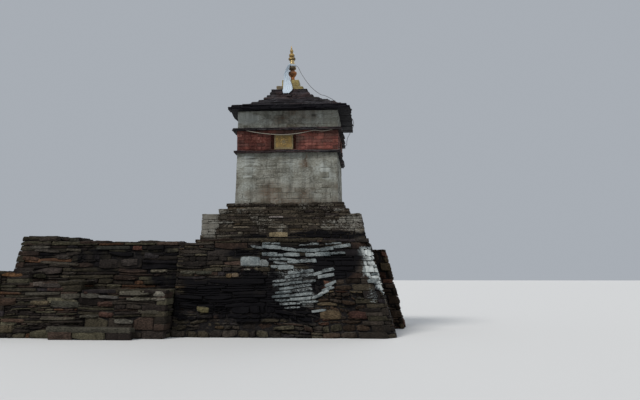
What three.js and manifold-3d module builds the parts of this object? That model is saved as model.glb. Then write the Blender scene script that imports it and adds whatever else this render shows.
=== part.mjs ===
// A square hilltop stupa of dry-laid schist: a battered base with a terrace wall beside it,
// a stepped plinth, a whitewashed shaft with a red band and niches, a stacked slate roof,
// and a gilded finial on a yellow pedestal, with a scarf and two ropes.
// Millimetres, +Z up, the front along -Y, the origin on the shaft's axis at ground level.

import * as THREE from "three";
import * as BufferGeometryUtils from "three/addons/utils/BufferGeometryUtils.js";
import Module from "manifold-3d";

const wasm = await Module();
wasm.setup();

// Faces that meet keep this much air, so that no two solids share a face.
const JOINT = 0.3;

// Battered base: a retaining wall on three sides of a rubble core.
const BASE = {
  left: -2450,
  wallTop: 2150,
  footRight: 2630,
  topRight: 2030,
  footDepth: 2600,
  topDepth: 2030,
  cornerCut: 250,
  coreRight: 1500,
  coreDepth: 1500,
};
const BASE_CAP = { thickness: 100, left: -2060, right: 2010, depth: 2010 };

// Rubble mass that leans on the rear half of the right side.
const BUTTRESS = {
  height: 2070,
  topRight: 2460,
  footRight: 2950,
  front: 500,
  back: 2000,
  footSpread: 260,
};

// Terrace that runs on from the left side of the base.
const TERRACE = {
  footEnd: -6720,
  topEnd: -6330,
  wallTop: 2100,
  footDepth: 2330,
  topDepth: 2010,
  coreEnd: -5850,
};
const TERRACE_CAP = { thickness: 100 };
const TERRACE_STACK = { height: 150, left: -6320, right: -5450, depth: 1960 };

// Lower step in front of the terrace, higher towards its left end.
const LEDGE = { footFront: -3050, frontBatter: 0.1 };
const LEDGE_PARTS = [
  { name: "ledge_left", left: -6740, right: -5620, height: 1480 },
  { name: "ledge_middle", left: -5620, right: -4400, height: 1260 },
  { name: "ledge_right", left: -4400, right: -2460, height: 1075 },
];
const FOOTING_SLAB = { left: -4950, right: -3100, front: -3380, height: 270 };

// Plinth, steps, shaft and the courses above it, from the bottom up.
const PLINTH = {
  height: 590,
  footLeft: -1975,
  footRight: 1950,
  topLeft: -1955,
  topRight: 1840,
  footDepth: 1925,
  topDepth: 1880,
};
const STEP_LOWER = { height: 155, left: -1614, right: 1546, depth: 1580 };
const STEP_UPPER = { height: 160, left: -1450, right: 1421, depth: 1440 };
const SHAFT = { height: 1265, footHalf: 1277, topHalf: 1247 };
const STRING_LOWER = { height: 60, left: -1312, right: 1336, depth: 1330 };
const BAND = { height: 505, left: -1250, right: 1280, depth: 1262 };
const NICHE = { width: 626, height: 400, depth: 140, sill: 22, offset: -85, clear: 60 };
const PANEL = { width: 472, height: 378, thickness: 50, setBack: 55 };
const STRING_UPPER = { height: 62, left: -1357, right: 1364, depth: 1350 };
const NECK = { height: 430, left: -1240, right: 1270, depth: 1250 };

// Slate courses of the roof: reach to the left, to the right and in depth, and thickness.
const ROOF_COURSES = [
  { left: -1444, right: 1588, depth: 1520, thickness: 65 },
  { left: -1390, right: 1510, depth: 1470, thickness: 67 },
  { left: -1190, right: 1400, depth: 1320, thickness: 78 },
  { left: -985, right: 1265, depth: 1160, thickness: 90 },
  { left: -795, right: 1085, depth: 1000, thickness: 90 },
  { left: -695, right: 860, depth: 830, thickness: 100 },
  { left: -610, right: 640, depth: 680, thickness: 100 },
  { left: -545, right: 520, depth: 570, thickness: 100 },
];
const ROOF_CAP = { left: -520, right: 425, depth: 465, thickness: 80 };

const PEDESTAL_LOWER = { left: -400, right: 318, depth: 360, height: 132 };
const PEDESTAL_UPPER = { left: -268, right: 192, depth: 230, height: 190 };

// Turned finial: every profile is [radius, height above the piece's foot].
const FINIAL_LEAN = -2.7;
const FINIAL_X = 5;
const FINIAL_SIDES = 32;
const FINIAL_PIECES = [
  {
    name: "finial_foot",
    height: 110,
    profile: [[84, 0], [88, 22], [64, 44], [50, 76], [48, 110]],
    finish: "gilt",
  },
  {
    name: "finial_vase",
    height: 206,
    profile: [
      [50, 0], [62, 20], [92, 62], [114, 102], [116, 128], [100, 156], [70, 172], [54, 184], [54, 206],
    ],
    finish: "copper",
  },
  {
    name: "finial_lotus",
    height: 112,
    profile: [[60, 0], [88, 18], [103, 46], [103, 66], [88, 94], [74, 112]],
    finish: "gilt",
  },
  {
    name: "finial_cone",
    height: 158,
    profile: [[88, 0], [92, 14], [80, 60], [66, 118], [60, 158]],
    finish: "gilt",
  },
  {
    name: "finial_ring_lower",
    height: 94,
    profile: [[64, 0], [92, 22], [97, 46], [88, 70], [52, 94]],
    finish: "gilt",
  },
  {
    name: "finial_ring_upper",
    height: 118,
    profile: [[48, 0], [70, 26], [76, 52], [66, 80], [34, 118]],
    finish: "gilt",
  },
  {
    name: "finial_jewel",
    height: 118,
    profile: [[26, 0], [42, 26], [45, 54], [34, 86], [18, 118]],
    finish: "gilt",
  },
  { name: "finial_tip", height: 88, profile: [[18, 0], [15, 30], [8, 64], [2, 88]], finish: "gilt" },
];

// Scarf: knotted to the finial, over the pedestal and down on the roof. Each station is the
// middle of its strip of cloth, with the cloth's width there.
const SCARF_THICKNESS = 16;
const SCARF_STATIONS = [
  { at: [-62, -96, 7035], width: 46 },
  { at: [-95, -124, 6985], width: 70 },
  { at: [-130, -152, 6860], width: 100 },
  { at: [-150, -190, 6740], width: 130 },
  { at: [-125, -235.3, 6576], width: 175 },
  { at: [-108, -310, 6476], width: 215 },
  { at: [-95, -365.2, 6386], width: 235 },
  { at: [-85, -471, 6257], width: 245 },
  { at: [-90, -574.8, 6175], width: 232 },
  { at: [-100, -628, 6098], width: 150 },
];

// Ropes: points chosen along the middle of each rope.
const ROPE_SIDES = 8;
const SPIRE_ROPE = {
  diameter: 12,
  steps: 78,
  points: [
    [77.6, 0, 7010], [94, 0, 7010], [132, -48, 6976], [176, -112, 6900], [238, -178, 6762],
    [330, -275, 6595], [430, -365, 6438], [530, -450, 6298], [625, -528, 6190],
    [720, -600, 6100], [815, -672, 6022], [905, -735, 5985],
    [1010, -775, 5925], [1112, -700, 5885], [1205, -535, 5838], [1290, -350, 5795], [1360, -210, 5755],
    [1425, -85, 5705], [1530, 110, 5632], [1606, 290, 5560], [1622, 400, 5470], [1585, 560, 5375],
    [1505, 745, 5278], [1440, 905, 5185], [1418, 1000, 5110], [1412, 1066, 5048],
    [1390, 1092, 5016], [1364.3, 1092, 5016],
  ],
};
const FRONT_ROPE = {
  diameter: 18,
  steps: 60,
  points: [
    [-1010, -1262.3, 4973], [-1010, -1286, 4973], [-988, -1304, 4969], [-950, -1311, 4960],
    [-800, -1312, 4930], [-620, -1312, 4900], [-440, -1316, 4878],
    [-260, -1318, 4864], [-80, -1318, 4859], [100, -1318, 4866], [280, -1315, 4884], [450, -1310, 4912],
    [600, -1310, 4945], [680, -1308, 4960], [760, -1308, 4956], [860, -1308, 4940], [960, -1308, 4943],
    [1060, -1308, 4958], [1106, -1304, 4968], [1128, -1286, 4973], [1128, -1262.3, 4973],
  ],
};

const COLOURS = {
  schist: [0x4a4540, 0.95, 0],
  rubble: [0x5a4c40, 0.95, 0],
  plaster: [0x8f8b80, 0.9, 0],
  brownStone: [0x62564a, 0.95, 0],
  redWash: [0x6e2f2a, 0.9, 0],
  panelPaint: [0xa88a3a, 0.7, 0],
  slate: [0x2e2c32, 0.8, 0],
  ochre: [0xa3903f, 0.75, 0],
  gilt: [0x8a7434, 0.4, 0.9],
  copper: [0x5e3218, 0.45, 0.9],
  scarf: [0xc4ced6, 0.8, 0],
  rope: [0x8b8578, 0.9, 0],
};

const stupa = new THREE.Group();

/** Adds one named piece to a group, with its colour, roughness and metalness. */
function addPiece(name, geometry, colourName, parent = stupa) {
  const [color, roughness, metalness] = COLOURS[colourName];
  const mesh = new THREE.Mesh(geometry, new THREE.MeshStandardMaterial({ color, roughness, metalness }));
  mesh.name = name;
  parent.add(mesh);
  return mesh;
}

/** Joins rings of equal point counts into one closed body, with a flat cap at each end. */
function closedLoft(rings) {
  const count = rings[0].length;
  const positions = rings.flat(2);
  const faces = [];
  for (let ring = 0; ring < rings.length - 1; ring += 1) {
    for (let i = 0; i < count; i += 1) {
      const next = (i + 1) % count;
      const lower = ring * count;
      const upper = lower + count;
      faces.push(lower + i, lower + next, upper + next, lower + i, upper + next, upper + i);
    }
  }
  const last = (rings.length - 1) * count;
  for (let i = 1; i < count - 1; i += 1) {
    faces.push(0, i + 1, i);
    faces.push(last, last + i, last + i + 1);
  }
  const geometry = new THREE.BufferGeometry();
  geometry.setAttribute("position", new THREE.Float32BufferAttribute(positions, 3));
  geometry.setIndex(faces);
  geometry.computeVertexNormals();
  return geometry;
}

/** One closed body between a plan at a low level and a plan at a high one, both counter-clockwise. */
function planLoft(lowPlan, lowLevel, highPlan, highLevel) {
  const atLevel = (plan, level) => plan.map(([x, y]) => [x, y, level]);
  return closedLoft([atLevel(lowPlan, lowLevel), atLevel(highPlan, highLevel)]);
}

/** The corners of a rectangle in plan, counter-clockwise. */
function rectangle(left, right, front, back) {
  return [[left, front], [right, front], [right, back], [left, back]];
}

/** A box between two corners. */
function block(left, right, front, back, bottom, top) {
  const geometry = new THREE.BoxGeometry(right - left, back - front, top - bottom);
  return geometry.translate((left + right) / 2, (front + back) / 2, (bottom + top) / 2);
}

/** Turns a closed geometry into a solid for cutting. */
function toSolid(geometry) {
  const bare = geometry.clone();
  bare.deleteAttribute("normal");
  bare.deleteAttribute("uv");
  const merged = BufferGeometryUtils.mergeVertices(bare);
  return new wasm.Manifold(new wasm.Mesh({
    numProp: 3,
    vertProperties: new Float32Array(merged.attributes.position.array),
    triVerts: new Uint32Array(merged.index.array),
  }));
}

/** Turns a solid back into a geometry. */
function toGeometry(solid) {
  const { vertProperties, triVerts } = solid.getMesh();
  const geometry = new THREE.BufferGeometry();
  geometry.setAttribute("position", new THREE.BufferAttribute(new Float32Array(vertProperties), 3));
  geometry.setIndex(new THREE.BufferAttribute(new Uint32Array(triVerts), 1));
  geometry.computeVertexNormals();
  return geometry;
}

/** Battered retaining walls on three sides of the base, and the rubble core that they hold. */
function buildBase() {
  const { left, wallTop, footRight, topRight, footDepth, topDepth, cornerCut, coreRight, coreDepth } = BASE;
  const frontPlan = (right, depth) => [
    [left, -depth], [right - cornerCut, -depth], [right, cornerCut - depth],
    [right, -coreDepth], [left, -coreDepth],
  ];
  const backPlan = (right, depth) => rectangle(left, right, coreDepth, depth);
  const rightPlan = (right) => rectangle(coreRight, right, -coreDepth + JOINT, coreDepth - JOINT);
  const frontWall = planLoft(frontPlan(footRight, footDepth), 0, frontPlan(topRight, topDepth), wallTop);
  const backWall = planLoft(backPlan(footRight, footDepth), 0, backPlan(topRight, topDepth), wallTop);
  const rightWall = planLoft(rightPlan(footRight), 0, rightPlan(topRight), wallTop);
  addPiece("base_front_wall", frontWall, "schist");
  addPiece("base_back_wall", backWall, "schist");
  addPiece("base_right_wall", rightWall, "schist");
  const core = block(left, coreRight - JOINT, -coreDepth + JOINT, coreDepth - JOINT, 0, wallTop);
  addPiece("base_core", core, "rubble");
  const { left: capLeft, right: capRight, depth: capDepth, thickness } = BASE_CAP;
  const cap = block(capLeft, capRight, -capDepth, capDepth, wallTop + JOINT, wallTop + thickness);
  addPiece("base_cap_course", cap, "brownStone");
}

/** The rubble mass against the rear half of the base's right side. */
function buildButtress() {
  const { height, topRight, footRight, front, back, footSpread } = BUTTRESS;
  const batter = (BASE.footRight - BASE.topRight) / BASE.wallTop;
  const wallFace = (level) => BASE.footRight - batter * level + JOINT;
  const foot = rectangle(wallFace(0), footRight, front - footSpread, back + footSpread);
  const top = rectangle(wallFace(height), topRight, front, back);
  addPiece("right_buttress", planLoft(foot, 0, top, height), "rubble");
}

/** The terrace: three retaining walls, their core, the capping course and the stack at its end. */
function buildTerrace() {
  const { footEnd, topEnd, wallTop, footDepth, topDepth, coreEnd } = TERRACE;
  const right = BASE.left - JOINT;
  const inner = BASE.coreDepth;
  const frontPlan = (end, depth) => rectangle(end, right, -depth, -inner);
  const backPlan = (end, depth) => rectangle(end, right, inner, depth);
  const endPlan = (end) => rectangle(end, coreEnd, -inner + JOINT, inner - JOINT);
  const frontWall = planLoft(frontPlan(footEnd, footDepth), 0, frontPlan(topEnd, topDepth), wallTop);
  const backWall = planLoft(backPlan(footEnd, footDepth), 0, backPlan(topEnd, topDepth), wallTop);
  const endWall = planLoft(endPlan(footEnd), 0, endPlan(topEnd), wallTop);
  addPiece("terrace_front_wall", frontWall, "schist");
  addPiece("terrace_back_wall", backWall, "schist");
  addPiece("terrace_end_wall", endWall, "schist");
  const core = block(coreEnd + JOINT, right, -inner + JOINT, inner - JOINT, 0, wallTop);
  addPiece("terrace_core", core, "rubble");
  const capTop = wallTop + TERRACE_CAP.thickness;
  const cap = block(topEnd, right, -topDepth, topDepth, wallTop + JOINT, capTop);
  addPiece("terrace_cap_course", cap, "schist");
  const { left: stackLeft, right: stackRight, depth: stackDepth, height: stackHeight } = TERRACE_STACK;
  const stack = block(stackLeft, stackRight, -stackDepth, stackDepth, capTop + JOINT, capTop + stackHeight);
  addPiece("terrace_stack", stack, "schist");
}

/** The lower step along the terrace's front, in three heights, and the long slab at its foot. */
function buildLedge() {
  const batter = (TERRACE.footDepth - TERRACE.topDepth) / TERRACE.wallTop;
  const wallFace = (level) => -TERRACE.footDepth + batter * level - JOINT;
  const frontFace = (level) => LEDGE.footFront + LEDGE.frontBatter * level;
  for (const { name, left, right, height } of LEDGE_PARTS) {
    const foot = rectangle(left, right - JOINT, frontFace(0), wallFace(0));
    const top = rectangle(left, right - JOINT, frontFace(height), wallFace(height));
    addPiece(name, planLoft(foot, 0, top, height), "schist");
  }
  const slab = FOOTING_SLAB;
  const footing = block(slab.left, slab.right, slab.front, LEDGE.footFront - JOINT, 0, slab.height);
  addPiece("ledge_footing_slab", footing, "brownStone");
}

/** Cuts a niche into each side of the band and stands a painted panel in each of them. */
function buildBand(bottom) {
  const middle = (BAND.left + BAND.right) / 2;
  const sides = [
    { name: "front", turn: 0, face: BAND.depth, offset: NICHE.offset },
    { name: "right", turn: Math.PI / 2, face: BAND.right, offset: 0 },
    { name: "back", turn: Math.PI, face: BAND.depth, offset: -middle },
    { name: "left", turn: -Math.PI / 2, face: -BAND.left, offset: 0 },
  ];
  let band = toSolid(block(BAND.left, BAND.right, -BAND.depth, BAND.depth, bottom, bottom + BAND.height));
  const sill = bottom + NICHE.sill;
  for (const { name, turn, face, offset } of sides) {
    const recess = block(
      offset - NICHE.width / 2, offset + NICHE.width / 2,
      -face - NICHE.clear, -face + NICHE.depth, sill, sill + NICHE.height,
    ).rotateZ(turn);
    band = band.subtract(toSolid(recess));
    const panelFront = -face + PANEL.setBack;
    const panel = block(
      offset - PANEL.width / 2, offset + PANEL.width / 2,
      panelFront, panelFront + PANEL.thickness, sill + JOINT, sill + PANEL.height,
    ).rotateZ(turn);
    addPiece(`niche_panel_${name}`, panel, "panelPaint");
  }
  addPiece("red_band", toGeometry(band), "redWash");
}

/** Stacks the plinth, steps, shaft, courses, roof and pedestal, and gives the level of their top. */
function buildTower() {
  let level = BASE.wallTop + BASE_CAP.thickness + JOINT;
  const raise = (height) => {
    const bottom = level;
    level += height;
    return [bottom, level - JOINT];
  };
  const addCourse = (name, { left, right, depth }, height, colourName) => {
    const [bottom, top] = raise(height);
    addPiece(name, block(left, right, -depth, depth, bottom, top), colourName);
  };

  const [plinthFoot, plinthTop] = raise(PLINTH.height);
  const plinthPlans = [
    rectangle(PLINTH.footLeft, PLINTH.footRight, -PLINTH.footDepth, PLINTH.footDepth),
    rectangle(PLINTH.topLeft, PLINTH.topRight, -PLINTH.topDepth, PLINTH.topDepth),
  ];
  addPiece("plinth", planLoft(plinthPlans[0], plinthFoot, plinthPlans[1], plinthTop), "brownStone");
  addCourse("step_lower", STEP_LOWER, STEP_LOWER.height, "brownStone");
  addCourse("step_upper", STEP_UPPER, STEP_UPPER.height, "brownStone");

  const [shaftFoot, shaftTop] = raise(SHAFT.height);
  const square = (half) => rectangle(-half, half, -half, half);
  addPiece("shaft", planLoft(square(SHAFT.footHalf), shaftFoot, square(SHAFT.topHalf), shaftTop), "plaster");
  addCourse("lower_string_course", STRING_LOWER, STRING_LOWER.height, "slate");
  const [bandFoot] = raise(BAND.height + JOINT);
  buildBand(bandFoot);
  addCourse("upper_string_course", STRING_UPPER, STRING_UPPER.height, "slate");
  addCourse("neck", NECK, NECK.height, "plaster");

  ROOF_COURSES.forEach((course, index) => {
    addCourse(`roof_course_${index + 1}`, course, course.thickness, "slate");
  });
  addCourse("roof_cap_slab", ROOF_CAP, ROOF_CAP.thickness, "slate");
  addCourse("pedestal_lower", PEDESTAL_LOWER, PEDESTAL_LOWER.height, "ochre");
  addCourse("pedestal_upper", PEDESTAL_UPPER, PEDESTAL_UPPER.height, "ochre");
  return level;
}

/** The turned finial, piece on piece, leaning a little to the left. */
function buildFinial(foot) {
  const group = new THREE.Group();
  const lean = THREE.MathUtils.degToRad(FINIAL_LEAN);
  const footRadius = FINIAL_PIECES[0].profile[0][0];
  group.position.set(FINIAL_X, 0, foot + 2 * JOINT + footRadius * Math.sin(-lean));
  group.rotation.y = lean;
  let height = 0;
  for (const piece of FINIAL_PIECES) {
    const top = piece.profile[piece.profile.length - 1];
    const profile = [[0, 0], ...piece.profile, [0, top[1]]];
    const outline = profile.map(([radius, along]) => new THREE.Vector2(radius, along));
    const geometry = new THREE.LatheGeometry(outline, FINIAL_SIDES).rotateX(Math.PI / 2);
    addPiece(piece.name, geometry, piece.finish, group).position.z = height;
    height += piece.height + JOINT;
  }
  stupa.add(group);
}

/** The scarf as one strip of even thickness, whose stations run down from its knot. */
function buildScarf() {
  const rings = SCARF_STATIONS.map(({ at, width }, index) => {
    const before = SCARF_STATIONS[Math.max(index - 1, 0)].at;
    const after = SCARF_STATIONS[Math.min(index + 1, SCARF_STATIONS.length - 1)].at;
    const run = new THREE.Vector2(after[1] - before[1], after[2] - before[2]).normalize();
    const across = [-run.y * SCARF_THICKNESS / 2, run.x * SCARF_THICKNESS / 2];
    const [x, y, z] = at;
    return [
      [x - width / 2, y - across[0], z - across[1]],
      [x + width / 2, y - across[0], z - across[1]],
      [x + width / 2, y + across[0], z + across[1]],
      [x - width / 2, y + across[0], z + across[1]],
    ];
  });
  addPiece("scarf", closedLoft(rings.reverse()), "scarf");
}

/** A rope along its points, as a tube with closed ends. */
function buildRope(name, { diameter, steps, points }) {
  const route = points.map((point) => new THREE.Vector3(...point));
  const curve = new THREE.CatmullRomCurve3(route, false, "centripetal");
  const section = new THREE.Shape();
  for (let side = 0; side < ROPE_SIDES; side += 1) {
    const angle = (2 * Math.PI * side) / ROPE_SIDES;
    const corner = [(diameter / 2) * Math.cos(angle), (diameter / 2) * Math.sin(angle)];
    if (side === 0) section.moveTo(...corner);
    else section.lineTo(...corner);
  }
  section.closePath();
  const tube = new THREE.ExtrudeGeometry(section, { steps, extrudePath: curve, bevelEnabled: false });
  addPiece(name, tube, "rope");
}

buildBase();
buildButtress();
buildTerrace();
buildLedge();
const pedestalTop = buildTower();
buildFinial(pedestalTop);
buildScarf();
buildRope("spire_rope", SPIRE_ROPE);
buildRope("front_rope", FRONT_ROPE);

export default stupa;
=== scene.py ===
"""A hilltop stupa: dry-laid schist, limewashed tower, red band with niches, slate roof and gilded finial.

Every stone, slate and moulding is meshed here, in metres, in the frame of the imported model:
+Z up, the front along -Y, the terrace towards -X.
"""

import logging
import math
from collections.abc import Callable, Sequence
from dataclasses import dataclass, field, replace
from enum import Enum

import bpy
import numpy as np
from mathutils import Matrix, Vector

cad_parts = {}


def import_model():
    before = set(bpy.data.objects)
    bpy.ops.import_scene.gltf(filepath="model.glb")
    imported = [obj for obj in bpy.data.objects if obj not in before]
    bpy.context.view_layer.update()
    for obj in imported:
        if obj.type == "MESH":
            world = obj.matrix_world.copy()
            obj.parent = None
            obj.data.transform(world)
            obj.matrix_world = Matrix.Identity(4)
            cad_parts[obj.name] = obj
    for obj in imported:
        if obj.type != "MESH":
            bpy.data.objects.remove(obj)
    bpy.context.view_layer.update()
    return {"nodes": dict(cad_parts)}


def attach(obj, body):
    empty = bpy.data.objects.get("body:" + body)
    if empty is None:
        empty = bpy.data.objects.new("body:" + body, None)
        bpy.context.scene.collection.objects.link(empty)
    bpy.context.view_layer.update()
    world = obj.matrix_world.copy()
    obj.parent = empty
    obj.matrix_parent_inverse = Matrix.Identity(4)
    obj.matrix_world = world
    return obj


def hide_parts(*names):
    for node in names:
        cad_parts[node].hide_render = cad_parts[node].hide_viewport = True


LOG = logging.getLogger("stupa")

Array = np.ndarray
Chance = np.random.Generator
Socket = bpy.types.NodeSocket
Pair = tuple[float, float]
Triple = tuple[float, float, float]
Four = tuple[float, float, float, float]
Five = tuple[float, float, float, float, float]
Plan = Sequence[Pair]
Colour = Triple
Rule = Callable[[Array], Array]

# Tables hold millimetres, and tints in thousandths of full light.
TABLE_UNIT = 1000

# The painted shade between the stones: a dark sheet behind the walls and under the floors.
PAINTED_GAP_SHADE = (0.011, 0.01, 0.01)
ALL_SIDES = (0, 1, 2, 3)

# The rings of a stone, from its bed up: how far each is set in, of its bevel, and its painted shade, darkest
# at the bed.
RING_INSET = np.array([1.0, 0.24, 0.0, 0.24, 1.0])
RING_SHADE = np.array([0.5, 0.97, 1.05, 1.07, 0.88])

# The columns of a stone's face from left to right, then of its back: how far each is set in at the ends.
END_INSET = np.array([1, 0.24, 0, 0, 0, 0, 0, 0.24, 1, 0, 0])
INNER_COLUMNS = (0.33, 0.5, 0.67)
COLUMN_STRAY = 0.07

# A corner is at most this share of a stone's length, and turns in by this share of itself. Its first
# column lies this share along it. The stone's back is shorter by this share at either end.
MOST_CORNER = 0.28
CORNER_TURN = 0.6
FIRST_COLUMN = 0.35
BACK_SHORTER = 0.015

# How far a stone leans out of the wall at most, for its length, and how fast its ends grow thin.
MOST_LEAN = 0.08
END_RATE = 2.4
END_CURVE = 1.4

# Courses wander in waves this long and so much flatter, and lie straight this near the edges of a field.
WANDER_SIZE = 1.1
WANDER_FLAT = 1.8
STRAIGHT_UP = 0.2
STRAIGHT_ALONG = 0.5

# How much the coats differ from stone to stone, and the least and the most of it.
COAT_SPREAD = 0.13
COAT_RANGE = (0.6, 1.3)

# A bevel takes at most this share of a stone's height, and its second ring lies this share up it.
MOST_BEVEL = 0.42
BEVEL_RING = 0.35

# A coat is at most this thick. Rust above RUST_SHOWS takes RUST_THINS times as much off the wash.
MOST_COAT = 1.2
RUST_SHOWS = 0.6
RUST_THINS = 1.6

# Stains lie on what is further to the front than this, and are full a little further on.
FRONT = -1.15
FRONT_FADE = 0.1

# How strong each octave of a ripple is, how many waves it has, and the range of their starts in radians.
OCTAVES = (0.45, 0.25, 0.14)
WAVES = 4
TURN = 6.3

# How ragged a stain's edge is, in waves this long, and where it ends and over how much, in half-sizes.
STAIN_RAGGED = 0.25
STAIN_WAVES = 0.4
STAIN_END = 1.25
STAIN_SOFT = 0.5

# How much weathering changes a wall, in waves this long, and how uneven each stone's tint is.
WEATHER = 0.2
WEATHER_WAVES = 0.9
TINT_UNEVEN = 0.08

# Chosen stones draw their chance from a wall's seed and this. The rest lies so far back behind them.
CHOSEN_SEED = 1000
BEHIND_CHOSEN = -0.02

# A narrower side is shared out between its corner stones. A shorter stretch of a course stays free.
NARROW_SIDE = 0.6
LEAST_STRETCH = 0.05

# A single block's range of lengths, in shares of the longest stone, and the least of a course to fill.
BLOCK_RANGE = (0.6, 1.0)
LEAST_FILL = 0.02

# The range of a stone's relief and of a corner stone's reach, in shares of the bond's. Where a side is
# narrow, the corner stones take these shares of it.
RELIEF_RANGE = (-1.6, 1.5)
QUOIN_RANGE = (0.8, 1.2)
LONG_SHARE = 0.7
SHORT_SHARE = 0.3

# Corner stones: their thickness for the thickest layer, how round their nose is for the bond's corner,
# its range, its most for their reach, how deep its back lies, how much of their reach has worn beds,
# and how much they stand out for the bond's relief.
QUOIN_LAYERS = (1.0, 1.8)
NOSE = 0.5
NOSE_RANGE = (0.6, 1.6)
MOST_NOSE = 0.3
NOSE_BACK = 0.3
QUOIN_INNER = 0.6
QUOIN_RELIEF = 0.7

# How much chosen stones differ in relief, and how far a course reaches past a window's edge before the
# window cuts it.
CHOSEN_SPREAD = 0.003
WINDOW_OVERLAP = 0.005

# How far the ends and the levels of a zone are moved at most, from course to course.
ZONE_SHIFT = (0.15, 0.05)

# How rough a stone is upwards and along, in shares of how rough its face is.
ROUGH_UP = 0.4
ROUGH_ALONG = 0.6

# Flat stones: how far each ring is set in, of the bevel, how far a stone is sunk or slopes at most,
# how far apart their edges bend, and how strongly the painted shade of their rings shows.
PAVER_INSETS = (0.0, 0.0, 0.3, 1.0, 7.0)
MOST_SUNK = 0.016
MOST_SLOPE = 0.03
PAVER_RIPPLE = 0.35
PAVER_SHADE = 0.6

# How far the middles of flat stones are moved, row by row and at random, in shares of their size,
# and how many stones next to it bound each.
PAVER_STAGGER = 0.2
PAVER_JITTER = 0.3
PAVER_NEIGHBOURS = 15

# The dark sheet of painted shade under a floor keeps this far from its edges, and lies at this share of a
# stone's depth.
FILL_INSET = 0.03
FILL_DEPTH = 0.8


class Coat(Enum):
    """What lies on a stone: the channel of its marks that holds it."""

    WASH = 0
    # Soot, and painted shade where a rule lays this coat for it.
    SOOT_AND_SHADE = 1
    RUST = 2


def ripple(points: Array, size: float, seed: int) -> Array:
    """Give a smooth random value from -1 to 1 at each point.

    Args:
        points: Places in metres, the last axis being x, y, z.
        size: How far apart high and low places lie.
        seed: Seed of the waves' directions.

    Returns:
        One value per point.
    """
    rng = np.random.default_rng(seed)
    total = np.zeros(points.shape[:-1])
    for weight in OCTAVES:
        for _ in range(WAVES):
            way = rng.normal(size=3)
            way *= 2.2 / (size * np.linalg.norm(way))
            bend = 0.6 * np.sin(points @ way[[1, 2, 0]] + rng.uniform(0, TURN))
            total += weight * np.sin(1.3 * points @ way + bend + rng.uniform(0, TURN))
        size *= 0.5
    return np.clip(total, -1.0, 1.0)


@dataclass(frozen=True)
class Stain:
    """A soft-edged oval of one coat on the front, by its middle and half-size."""

    coat: Coat
    x: float
    z: float
    half_width: float
    half_height: float
    strength: float = 1.0

    def cover(self, points: Array) -> Array:
        """Give how much of it lies at each point, from 0 to its strength."""
        across, up = points[..., 0] - self.x, points[..., 2] - self.z
        reach = np.hypot(across / self.half_width, up / self.half_height)
        reach = reach + STAIN_RAGGED * ripple(points, STAIN_WAVES, 91)
        return self.strength * np.clip((STAIN_END - reach) / STAIN_SOFT, 0.0, 1.0)


def stained(coat: Coat, *rows: Sequence[float]) -> list[Stain]:
    """Give stains of one coat, from rows of middle, half-size and strength."""
    return [Stain(coat, *row) for row in rows]


def coat_rule(stains: Sequence[Stain], everywhere: Rule | None = None) -> Rule:
    """Make a rule that says how much of each coat lies at a place.

    Args:
        stains: The stains on the front.
        everywhere: The coats on every side, or None.

    Returns:
        The rule.
    """
    def rule(points: Array) -> Array:
        """Lay the stains of the front over what lies everywhere."""
        marks = np.zeros(points.shape) if everywhere is None else everywhere(points)
        front = np.clip((FRONT - points[..., 1]) / FRONT_FADE, 0, 1)
        for stain in stains:
            kind = stain.coat.value
            marks[..., kind] = np.maximum(marks[..., kind], stain.cover(points) * front)
        marks[..., 0] -= RUST_THINS * np.clip(marks[..., 2] - RUST_SHOWS, 0, 1 - RUST_SHOWS)
        return np.clip(marks, 0, MOST_COAT)

    return rule


def unit_rows(rows: Array) -> Array:
    """Give each row the length of one."""
    return rows / np.linalg.norm(rows, axis=-1, keepdims=True)


def rectangle(left: float, right: float, front: float, back: float) -> Plan:
    """Give a rectangle's corners in plan, counter-clockwise."""
    return [(left, front), (right, front), (right, back), (left, back)]


def centred(left: float, right: float, depth: float) -> Plan:
    """Give the plan of a block that reaches as far back as forward."""
    return rectangle(left, right, -depth, depth)


def grid_faces(rows: int, columns: int, closed: bool = False) -> Array:
    """Give the faces of a grid of points.

    Args:
        rows: How many rows it has.
        columns: How many points are in a row.
        closed: Whether each row closes on itself.

    Returns:
        Rows of four indexes.
    """
    index = np.arange(rows * columns).reshape(rows, columns)
    if closed:
        index = np.hstack([index, index[:, :1]])
    return np.stack([index[:-1, :-1], index[:-1, 1:], index[1:, 1:], index[1:, :-1]], -1).reshape(-1, 4)


def add_object(name: str, data: bpy.types.ID) -> bpy.types.Object:
    """Add an object to the scene."""
    made = bpy.data.objects.new(name, data)
    bpy.context.collection.objects.link(made)
    return made


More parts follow.
